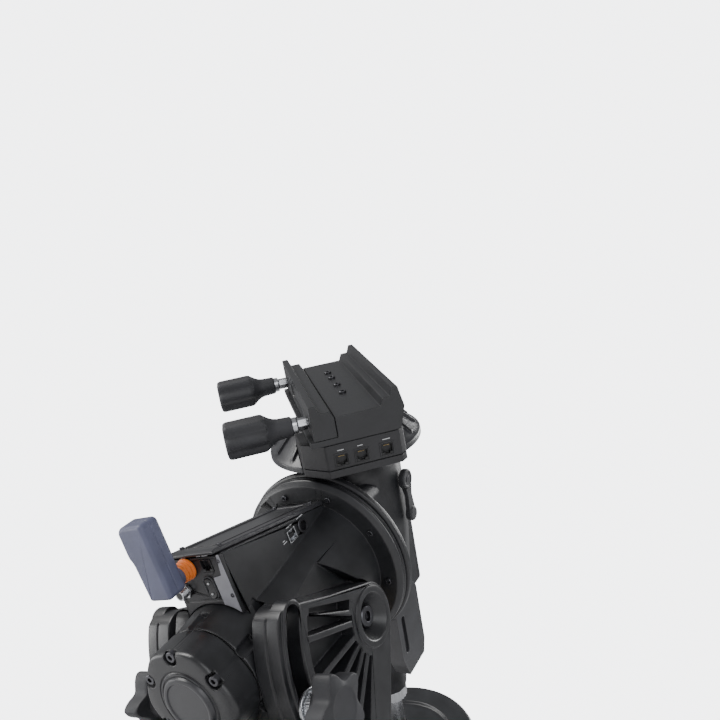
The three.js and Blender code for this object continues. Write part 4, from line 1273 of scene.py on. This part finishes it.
class MOUNT_OT_clutches(bpy.types.Operator):
    """Makes the two clutch levers on the declination housing"""

    bl_idname = "mount.clutches"
    bl_label = "Clutch Levers"

    def execute(self, context):
        levers = (("declination_clutch_lever", 10, 46, 1), ("polar_clutch_lever", -22, 46, -1))
        for node, y, z, side in levers:
            way = sided(side)
            boss = revolved("x", [
                (0, side * 51.5), (9.4, side * 51.5), (10, side * 52.1), (10, side * 56.6), (9, side * 57.8),
                (7.4, side * 58), (6.6, side * 57.2), (0, side * 57.2),
            ], (y, z), 64)
            arm = prism("x", [
                *arc(7.4, 0, 180, 12, (y, z)), (y - 4.6, z - 18), *arc(6.4, 180, 360, 14, (y, z - 36)),
                (y + 4.6, z - 18),
            ], way(53, 57.2))
            tip = revolved("x", [
                (0, side * 52), (6.6, side * 52), (7.5, side * 52.9), (7.5, side * 57.6), (6.2, side * 59),
                (0, side * 59),
            ], (y, z - 38), 64)
            joined(boss, arm, tip)
            settle(boss, node + "_grip", HOUR, node.replace("_lever", ""), "knob", (node,),
                   0.0006, 3)
            cap = prism("x", arc(3.2, 0, 300, 5, (y, z)), way(57, 57.7))
            settle(cap, node + "_screw", HOUR, node.replace("_lever", ""), "dark_steel", (), 0.0002)
        return {"FINISHED"}


BAR_RADIUS = 9.5
BAR_END = -505
WEIGHT_W = (-342, -282)
WEIGHT_RADIUS = 86


class MOUNT_OT_counterweight(bpy.types.Operator):
    """Makes the counterweight bar, its nut and end stop, the weight and its lock knob"""

    bl_idname = "mount.counterweight"
    bl_label = "Counterweight"

    def execute(self, context):
        house = "declination_housing"
        bar = revolved("z", [
            (0, BAR_END + 2), (5, BAR_END + 2), (5, BAR_END + 14), (8.7, BAR_END + 14),
            (BAR_RADIUS, BAR_END + 14.8), (BAR_RADIUS, -161), (0, -161),
        ])
        settle(bar, "weight_bar", HOUR, house, "steel", ("counterweight_bar",))
        nut = revolved("z", [
            (BAR_RADIUS + GAP, -218), (15.4, -218, 0), (17, -217.2, 1.0), (17, -206.2, 1.0),
            (16, -205 - GAP, 0), (BAR_RADIUS + GAP, -205 - GAP), (BAR_RADIUS + GAP, -218),
        ], (0, 0), 192, 24)
        settle(nut, "bar_nut", HOUR, house, "aluminium", ("bar_lock_nut",))
        stop = grip("z", 15, 1.4, (BAR_END, BAR_END + 13.6), (0, 0), 10, edge=1.8, steps=120)
        cut(stop, rod("z", 5 + GAP, (BAR_END + 1.6, BAR_END + 20), steps=48))
        settle(stop, "bar_stop_knob", HOUR, house, "knob", ("bar_end_stop",))

        low, high = WEIGHT_W
        soft, rim = 1.2, WEIGHT_RADIUS
        weight = revolved("z", [
            (0, low + 2.5), (58, low + 2.5), (60, low), (rim - 4, low), (rim - soft, low + soft),
            (rim, low + 4),
            (rim, high - 4), (rim - soft, high - soft), (rim - 4, high), (60, high), (58, high - 2.5),
            (32, high - 2.5), (29, high), (0, high),
        ], steps=160)
        middle = (0, (low + high) / 2)
        cut(weight, rod("z", BAR_RADIUS + 0.5, (low - 1, high + 1), steps=64),
            rod("x", 5 + GAP, (BAR_RADIUS, rim + 1), middle, 48))
        settle(weight, "iron_weight", HOUR, "counterweight", "iron", ("counterweight",),
               0.0008)
        knob = grip("x", 13.8, 2.6, (rim + 0.5, rim + 16), middle, 6, edge=2.4, end=0.8)
        shaft = rod("x", 5, (BAR_RADIUS + 1.5, rim + 1.2), middle, 48, edge=0.5)
        settle(knob, "weight_grip", HOUR, "counterweight_knob", "knob", ("counterweight_knob",))
        settle(shaft, "weight_screw", HOUR, "counterweight_knob", "steel", ())
        return {"FINISHED"}


# ---- Head: ribbed disc, saddle, clamp and port box ----
PORT_U, PORT_V, PORT_W = (-52, 42), (-85, -34), (90, 121.5)
SADDLE_V = (-87, 100)
CLAMP_V = (("rear", -64), ("front", 81.5))
CLAMP_W = 140
JACK_U = (-18.6, -0.2, 23.1)


def port_outline(grow):
    """The port box's outline from above, made larger all round by an amount."""
    (u0, u1), (v0, v1) = PORT_U, PORT_V
    return [
        (u0 - grow, v0 + 20 - grow), (u0 + 20 - grow, v0 - grow), (u1 - 6 + grow, v0 - grow),
        (u1 + grow, v0 + 6 - grow), (u1 + grow, v1 + grow), (u0 - grow, v1 + grow),
    ]


class MOUNT_OT_disc(bpy.types.Operator):
    """Makes the ribbed conical disc under the saddle"""

    bl_idname = "mount.disc"
    bl_label = "Ribbed Disc"

    def execute(self, context):
        disc = revolved("z", [
            (0, 86 + GAP), (59.4, 86 + GAP), (60, 86.9), (60, 89), (75.8, 89), (76.4, 89.6), (76.4, 94.4),
            (75.6, 95.4), (72, 97), (50, 118), (0, 118),
        ], steps=144)
        reach = revolved("z", [(0, 90), (74, 90), (74, 98), (54, 118), (0, 118)], steps=144)
        ribs = radial_ribs(16, 11.25, 30, 72, 3.5, (92, 115))
        reach.modifiers.new("ribs", "BOOLEAN").object = ribs
        reach.modifiers["ribs"].operation = "INTERSECT"
        bake(reach)
        bpy.data.objects.remove(ribs)
        joined(disc, reach)
        cut(disc, prism("z", port_outline(0.5), (PORT_W[0] - 6, PORT_W[1] + 4)))
        settle(disc, "ribbed_disc", HEAD, "head", "grey", ("saddle_disc",), 0.0005)
        return {"FINISHED"}


def radial_ribs(count, phase, start, end, width, span):
    """Ribs like spokes, placed round the axis by a Geometry Nodes tree."""
    tree = bpy.data.node_groups.new("radial_ribs", "GeometryNodeTree")
    face = tree.interface
    face.new_socket("Geometry", in_out="INPUT", socket_type="NodeSocketGeometry")
    wants = {"Count": ("NodeSocketInt", count), "Phase": ("NodeSocketFloat", math.radians(phase))}
    sockets = {
        name: face.new_socket(name, in_out="INPUT", socket_type=want[0]) for name, want in wants.items()
    }
    face.new_socket("Geometry", in_out="OUTPUT", socket_type="NodeSocketGeometry")
    add, link = tree.nodes.new, tree.links.new
    came, leaves = add("NodeGroupInput"), add("NodeGroupOutput")
    points = add("GeometryNodeMeshLine")
    points.mode = "OFFSET"
    points.inputs["Offset"].default_value = (0, 0, 0)
    link(came.outputs["Count"], points.inputs["Count"])
    index = add("GeometryNodeInputIndex")
    step = math_node(tree, "DIVIDE", 2 * math.pi, came.outputs["Count"])
    angle = math_node(tree, "MULTIPLY", index.outputs[0], step)
    angle = math_node(tree, "ADD", angle, came.outputs["Phase"])
    spin = add("ShaderNodeCombineXYZ")
    link(angle, spin.inputs["Z"])
    place = add("GeometryNodeInstanceOnPoints")
    link(points.outputs["Mesh"], place.inputs["Points"])
    link(came.outputs["Geometry"], place.inputs["Instance"])
    link(spin.outputs[0], place.inputs["Rotation"])
    finish_tree(tree, place.outputs["Instances"], leaves, "grey")
    rib = prism("z", [(start, -width / 2), (end, -width / 2), (end, width / 2), (start, width / 2)], span)
    return grown_by(rib, tree, {sockets[name].identifier: want[1] for name, want in wants.items()})


def math_node(tree, operation, *values):
    """One Math node, its values or links given in order."""
    node = tree.nodes.new("ShaderNodeMath")
    node.operation = operation
    for socket, value in zip(node.inputs, values):
        if isinstance(value, bpy.types.NodeSocket):
            tree.links.new(value, socket)
        else:
            socket.default_value = value
    return node.outputs[0]


def finish_tree(tree, instances, leaves, finish):
    """Ends a tree in real geometry with its material."""
    real = tree.nodes.new("GeometryNodeRealizeInstances")
    paint = tree.nodes.new("GeometryNodeSetMaterial")
    paint.inputs["Material"].default_value = FINISHES[finish]
    tree.links.new(instances, real.inputs[0])
    tree.links.new(real.outputs[0], paint.inputs[0])
    tree.links.new(paint.outputs[0], leaves.inputs[0])


def grown_by(item, tree, values):
    """The plain mesh that a Geometry Nodes tree makes of an object."""
    modifier = item.modifiers.new("grown", "NODES")
    modifier.node_group = tree
    for identifier, value in values.items():
        modifier[identifier] = value
    return bake(item)


class MOUNT_OT_saddle(bpy.types.Operator):
    """Makes the saddle's fixed body and its moving jaw"""

    bl_idname = "mount.saddle"
    bl_label = "Saddle"

    def execute(self, context):
        section = [
            (-44, 122.5), (39, 122.5), (45, 143), (41, 162), (36, 162), (33, 154), (26, 154), (23, 147),
            (-18.5, 147), (-18.5, 128), (-44, 128),
        ]
        foot = prism("z", rounded((-34, 34), (-30, 64), 6), (118 + GAP, 123))
        saddle = joined(prism("y", section, SADDLE_V), foot)
        windows = [
            prism("x", rounded((v - 13, v + 13), (127, 137.5), 4), (34, 50)) for v in (-52, -14, 24, 62)
        ]
        cut(saddle, *[rod("x", 4 + GAP, (-20, 16), (v, CLAMP_W), 48) for _, v in CLAMP_V], *windows)
        settle(saddle, "saddle_body", HEAD, "head", "casting", ("saddle",), 0.0007)
        jaw = prism("y", [
            (-40, 128 + GAP), (-19, 128 + GAP), (-19, 147), (-22, 153), (-31, 153), (-34, 160.5),
            (-40, 160.5),
        ], SADDLE_V)
        relief = prism("x", rounded((-30, 46), (134, 150), 5), (-41, -38.4))
        cut(jaw, *[rod("x", 4 + GAP, (-41, -18), (v, CLAMP_W), 48) for _, v in CLAMP_V], relief)
        settle(jaw, "saddle_moving_jaw", HEAD, "saddle_jaw", "casting", ("saddle_jaw",),
               0.0007)
        return {"FINISHED"}


class MOUNT_OT_clamp_knobs(bpy.types.Operator):
    """Makes the two fluted clamp knobs with their tapered necks and steel studs"""

    bl_idname = "mount.clamp_knobs"
    bl_label = "Clamp Knobs"

    def execute(self, context):
        depth = sizes().grip_depth / MM
        outer = 17.2
        for name, v in CLAMP_V:
            at = (v, CLAMP_W)
            knob = revolved("x", [
                (0, -114), (7.4, -114, 0), (8.2, -114.8, 0), (outer - depth - 2.2, -115, 0),
                (outer - 1.6, -114.2, depth * 0.7),
                (outer - 0.5, -113, depth), (outer, -111, depth), (outer, -82, depth),
                (outer - 0.5, -79.6, depth),
                (outer - 1.8, -78, depth * 0.6), (14.6, -77.2, 0), (12.2, -74, 0), (10.4, -70.5, 0),
                (9.6, -67, 0), (9.0, -55.5, 0), (8.4, -54.6, 0), (0, -54.6),
            ], at, 180, 6, 0, 1.2)
            settle(knob, "clamp_grip_" + name, HEAD, "clamp_knob_" + name, "knob", ("clamp_knob_" + name,))
            stud = revolved("x", [
                (0, -55), (7, -55), (7.5, -54.4), (7.5, -50.6), (7, -50), (4, -50), (4, 13.4), (3.4, 14),
                (0, 14),
            ], at, 64)
            nut = prism("x", arc(6, 0, 300, 5, at), (-49.6, -41.2))
            soften(nut, 0.4)
            settle(gathered(stud, nut), "clamp_stud_" + name, HEAD, "clamp_knob_" + name, "steel", ())
        return {"FINISHED"}


class MOUNT_OT_port_box(bpy.types.Operator):
    """Makes the port box under the saddle with its three modular jacks"""

    bl_idname = "mount.port_box"
    bl_label = "Port Box"

    def execute(self, context):
        low, high = PORT_W
        seam, front = low + 7, PORT_V[0]
        upper = prism("z", port_outline(0), (seam + GAP, high))
        soften(upper, 1.2, 3)
        centre_w = 106
        holes = [block((u - 5.6, u + 5.6), (front - 5, front + 7), (100.5, 111.5)) for u in JACK_U]
        cut(upper, *holes)
        settle(upper, "port_box_shell", HEAD, "head", "plastic", ("port_box",), 0.0003)
        base = prism("z", port_outline(0), (low, seam))
        settle(base, "port_box_tray", HEAD, "head", "plastic", ("port_box_base",), 0.0006)
        shells = [jack("y", -1, (u, centre_w), (11, 10.8), front) for u in JACK_U]
        settle(gathered(*shells), "port_jacks", HEAD, "head", "socket", (), 0.0002)
        wires = [
            block((u - 2.9 + k * 1.0, u - 2.5 + k * 1.0), (front + 0.6, front + 3.2), (109.2, 109.9))
            for u in JACK_U for k in range(6)
        ]
        settle(gathered(*wires), "port_jack_contacts", HEAD, "head", "brass", ())
        rims = [
            cut(block((u - 7, u + 7), (front - 0.5, front + 0.4), (99.2, 112.8)),
                block((u - 5.5, u + 5.5), (front - 2, front + 2), (100.6, 111.4)))
            for u in JACK_U
        ]
        settle(gathered(*rims), "port_jack_rims", HEAD, "head", "plastic", (), 0.0004)
        ticks = [
            block((u - 3, u + wide), (front - 0.15, front + 0.2), (115, 115.8))
            for u, wide in zip(JACK_U, (3, 2, 4))
        ]
        settle(gathered(*ticks), "port_marks", HEAD, "head", "mark", ())
        return {"FINISHED"}


# ---- Cap screws, placed by Geometry Nodes ----
def screw_head():
    """A socket cap screw's head of radius 1, its underside at 0."""
    head = revolved("z", [(0, -0.5), (0.94, -0.5), (1, -0.44), (1, 0.46), (0.9, 0.58), (0, 0.58)], steps=32)
    return cut(head, prism("z", arc(0.54, 0, 300, 5), (0.02, 0.8)))


def screw_tree():
    """A tree that puts one screw head on every point, facing along its aim and scaled by its size."""
    tree = bpy.data.node_groups.new("cap_screws", "GeometryNodeTree")
    face = tree.interface
    face.new_socket("Geometry", in_out="INPUT", socket_type="NodeSocketGeometry")
    head = face.new_socket("Head", in_out="INPUT", socket_type="NodeSocketObject")
    face.new_socket("Geometry", in_out="OUTPUT", socket_type="NodeSocketGeometry")
    add, link = tree.nodes.new, tree.links.new
    came, leaves = add("NodeGroupInput"), add("NodeGroupOutput")
    source = add("GeometryNodeObjectInfo")
    link(came.outputs["Head"], source.inputs["Object"])
    aim, size = add("GeometryNodeInputNamedAttribute"), add("GeometryNodeInputNamedAttribute")
    aim.data_type, size.data_type = "FLOAT_VECTOR", "FLOAT"
    aim.inputs["Name"].default_value, size.inputs["Name"].default_value = "aim", "size"
    turned = add("FunctionNodeAlignRotationToVector")
    turned.axis = "Z"
    link(aim.outputs[0], turned.inputs["Vector"])
    place = add("GeometryNodeInstanceOnPoints")
    link(came.outputs["Geometry"], place.inputs["Points"])
    link(source.outputs["Geometry"], place.inputs["Instance"])
    link(turned.outputs[0], place.inputs["Rotation"])
    link(size.outputs[0], place.inputs["Scale"])
    finish_tree(tree, place.outputs["Instances"], leaves, "dark_steel")
    return tree, head.identifier


def lid_normal():
    """The direction that the sloping lid faces."""
    y0, y1 = HUMP_Y
    return Vector((0, lid_z(y0) - lid_z(y1), y1 - y0)).normalized()


def screw_places():
    """Every cap screw: its frame, body, centre of the head, direction it faces and head radius."""
    places = []

    def add(where, body, points, aim, radius):
        places.extend((where, body, Vector(point), Vector(aim), radius) for point in points)

    house = "polar_housing"
    add(TILT, house, [(x, COVER_Y + SCREW_DEPTH - 1.9, z) for x, z in sixths(SCREW_CIRCLE)], (0, -1, 0), 4.1)
    ring = [(x, RING_Y[0] - 0.2, z) for x, z in arc(70.5, 20, 340, 8, POLAR) if z > -18]
    add(TILT, house, ring, (0, -1, 0), 2.9)
    lift = lid_normal() * 0.2
    corners = [Vector((x, y, lid_z(y))) + lift for x in (-21, 21) for y in (-80, 36)]
    add(TILT, house, corners, lid_normal(), 2.0)
    add(TILT, house, [(x, HUMP_Y[0] - 4.1, z) for x in (-26.6, 26.6) for z in (84, 113)], (0, -1, 0), 1.7)
    cover = [(x, 66.1, z) for x in (-30, 18) for z in (-100, 22)]
    add(HOUR, "declination_housing", cover, (0, 1, 0), 2.4)
    for side in (-1, 1):
        aim = (side, 0, 0)
        add(HOUR, "declination_housing", [(side * 46.6, -12, -18)], aim, 3.0)
        add(YOKE, "yoke", [(side * 57.8, y, FLOOR_Z[0] + 18) for y in (-42, 20, 48)], aim, 4.0)
    add(HEAD, "head", [(2, v, 146.9) for v in (-22, 6, 34, 56)], (0, 0, 1), 3.6)
    add(HEAD, "head", [(-36, -76, 121.2), (37, -76, 121.2)], (0, 0, 1), 1.8)
    return places


class MOUNT_OT_screws(bpy.types.Operator):
    """Places the socket cap screws on every body"""

    bl_idname = "mount.screws"
    bl_label = "Cap Screws"

    def execute(self, context):
        tree, head_socket = screw_tree()
        head = screw_head()
        bodies = {}
        for where, body, point, aim, radius in screw_places():
            bodies.setdefault(body, []).append((where @ point, where.to_3x3() @ aim, radius))
        for body, rows in bodies.items():
            points, aims, radii = zip(*rows)
            item = shape_points(points)
            stored = item.data.attributes.new("aim", "FLOAT_VECTOR", "POINT")
            stored.data.foreach_set("vector", [number for direction in aims for number in direction])
            stored = item.data.attributes.new("size", "FLOAT", "POINT")
            stored.data.foreach_set("value", radii)
            grown_by(item, tree, {head_socket: head})
            settle(item, "cap_screws_" + body, YOKE, body, "dark_steel", ())
        bpy.data.objects.remove(head)
        return {"FINISHED"}


def shape_points(points):
    """A mesh of loose points, for a Geometry Nodes tree to grow on."""
    mesh = bpy.data.meshes.new("points")
    mesh.from_pydata(points, [], [])
    item = bpy.data.objects.new("points", mesh)
    bpy.context.scene.collection.objects.link(item)
    return item


# ---- Stage ----
CAMERA_PLACE = (425.4, -478.5, 160.9)  # in millimetres
CAMERA_AIM = (35.2, -23.5, 0.4)  # compass angle, elevation and roll, in degrees
CAMERA_LENS = 35.2
FLOOR_REACH, FLOOR_LEVEL = 1.6, -0.106  # in metres
LIGHTS_AIM = (0, 0.09, 0.2)  # the point that every lamp faces, in metres
# the world's strength as the camera sees it, and as a light
SKY_SEEN, SKY_GLOW = 5.0, 0.32
# name, place, width and height, watts, colour
STUDIO_LIGHTS = [
    ("key", (-0.9, -1.3, 1.7), (1.1, 1.1), 46, (1.0, 0.99, 0.97)),
    ("fill", (1.7, -1.1, 0.6), (1.4, 1.0), 16, (0.97, 0.98, 1.0)),
    ("rim", (0.6, 1.6, 1.3), (1.4, 1.0), 34, (1.0, 1.0, 1.0)),
    ("low", (-1.3, -0.7, 0.1), (0.8, 0.8), 12, (1.0, 1.0, 1.0)),
]


class MOUNT_OT_stage(bpy.types.Operator):
    """Makes the pale floor, the soft studio lights and the camera"""

    bl_idname = "mount.stage"
    bl_label = "Stage"

    def execute(self, context):
        scene = context.scene
        self.floor()
        world = bpy.data.worlds.new("studio")
        scene.world = world
        world.use_nodes = True
        sky = world.node_tree.nodes["Background"]
        sky.inputs["Color"].default_value = (0.97, 0.98, 1, 1)
        seen = world.node_tree.nodes.new("ShaderNodeLightPath").outputs["Is Camera Ray"]
        span = SKY_SEEN - SKY_GLOW
        extra = math_node(world.node_tree, "MULTIPLY", seen, span)
        strength = math_node(world.node_tree, "ADD", extra, SKY_GLOW)
        world.node_tree.links.new(strength, sky.inputs["Strength"])
        for name, place, size, power, tint in STUDIO_LIGHTS:
            lamp = bpy.data.lights.new(name, "AREA")
            lamp.shape = "RECTANGLE"
            lamp.size, lamp.size_y = size
            lamp.energy = power
            lamp.color = tint
            item = bpy.data.objects.new(name, lamp)
            item.location = place
            item.rotation_euler = (Vector(LIGHTS_AIM) - Vector(place)).to_track_quat("-Z", "Y").to_euler()
            scene.collection.objects.link(item)
        compass, elevation, roll = (math.radians(angle) for angle in CAMERA_AIM)
        level = math.cos(elevation)
        ahead = Vector((-math.sin(compass) * level, math.cos(compass) * level, -math.sin(elevation)))
        right = Vector((math.cos(compass), math.sin(compass), 0))
        up = right.cross(ahead)
        right, up = right * math.cos(roll) + up * math.sin(roll), up * math.cos(roll) - right * math.sin(roll)
        lens = bpy.data.cameras.new("camera")
        lens.lens = CAMERA_LENS
        lens.sensor_width = 36
        lens.clip_start = 0.01
        camera = bpy.data.objects.new("camera", lens)
        pose = Matrix((right, up, -ahead)).transposed().to_4x4()
        pose.translation = Vector(CAMERA_PLACE) * MM
        camera.matrix_world = pose
        scene.collection.objects.link(camera)
        scene.camera = camera
        return {"FINISHED"}

    def floor(self):
        mesh = bpy.data.meshes.new("floor")
        reach = FLOOR_REACH
        corners = [(-reach, -reach), (reach, -reach), (reach, reach), (-reach, reach)]
        mesh.from_pydata([(x, y, FLOOR_LEVEL) for x, y in corners], [], [(0, 1, 2, 3)])
        item = bpy.data.objects.new("floor", mesh)
        bpy.context.scene.collection.objects.link(item)
        pale = enamel("pale_floor", (0.78, 0.78, 0.79), 0.7, grain=300, depth=0.02, highlight_and_wear=0.0, tone=1.02)
        mesh.materials.append(pale)


PIECES = (
    MOUNT_OT_base, MOUNT_OT_floor, MOUNT_OT_fork_arms, MOUNT_OT_azimuth, MOUNT_OT_altitude,
    MOUNT_OT_polar_housing, MOUNT_OT_polar_cover, MOUNT_OT_electronics, MOUNT_OT_module, MOUNT_OT_locks,
    MOUNT_OT_drives, MOUNT_OT_declination_housing, MOUNT_OT_clutches, MOUNT_OT_counterweight, MOUNT_OT_disc,
    MOUNT_OT_saddle, MOUNT_OT_clamp_knobs, MOUNT_OT_port_box, MOUNT_OT_screws, MOUNT_OT_stage,
)


class MOUNT_PT_panel(bpy.types.Panel):
    """Lists the mount's pieces and sizes"""

    bl_idname = "MOUNT_PT_panel"
    bl_label = "Equatorial Mount"
    bl_space_type = "VIEW_3D"
    bl_region_type = "UI"
    bl_category = "Mount"

    def draw(self, context):
        for group in (context.scene.mount_sizes, context.scene.mount_colours):
            for key in group.__annotations__:
                self.layout.prop(group, key)
        for piece in PIECES:
            self.layout.operator(piece.bl_idname)


CLASSES = (MountSizes, MountColours, *PIECES, MOUNT_PT_panel)


def register():
    for item in CLASSES:
        bpy.utils.register_class(item)
    bpy.types.Scene.mount_sizes = PointerProperty(type=MountSizes)
    bpy.types.Scene.mount_colours = PointerProperty(type=MountColours)


def unregister():
    del bpy.types.Scene.mount_colours
    del bpy.types.Scene.mount_sizes
    for item in reversed(CLASSES):
        bpy.utils.unregister_class(item)


def main():
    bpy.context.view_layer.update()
    register()
    make_finishes()
    for piece in PIECES:
        group, name = piece.bl_idname.split(".")
        getattr(getattr(bpy.ops, group), name)()
    bpy.context.view_layer.update()


if __name__ == "__main__":
    main()
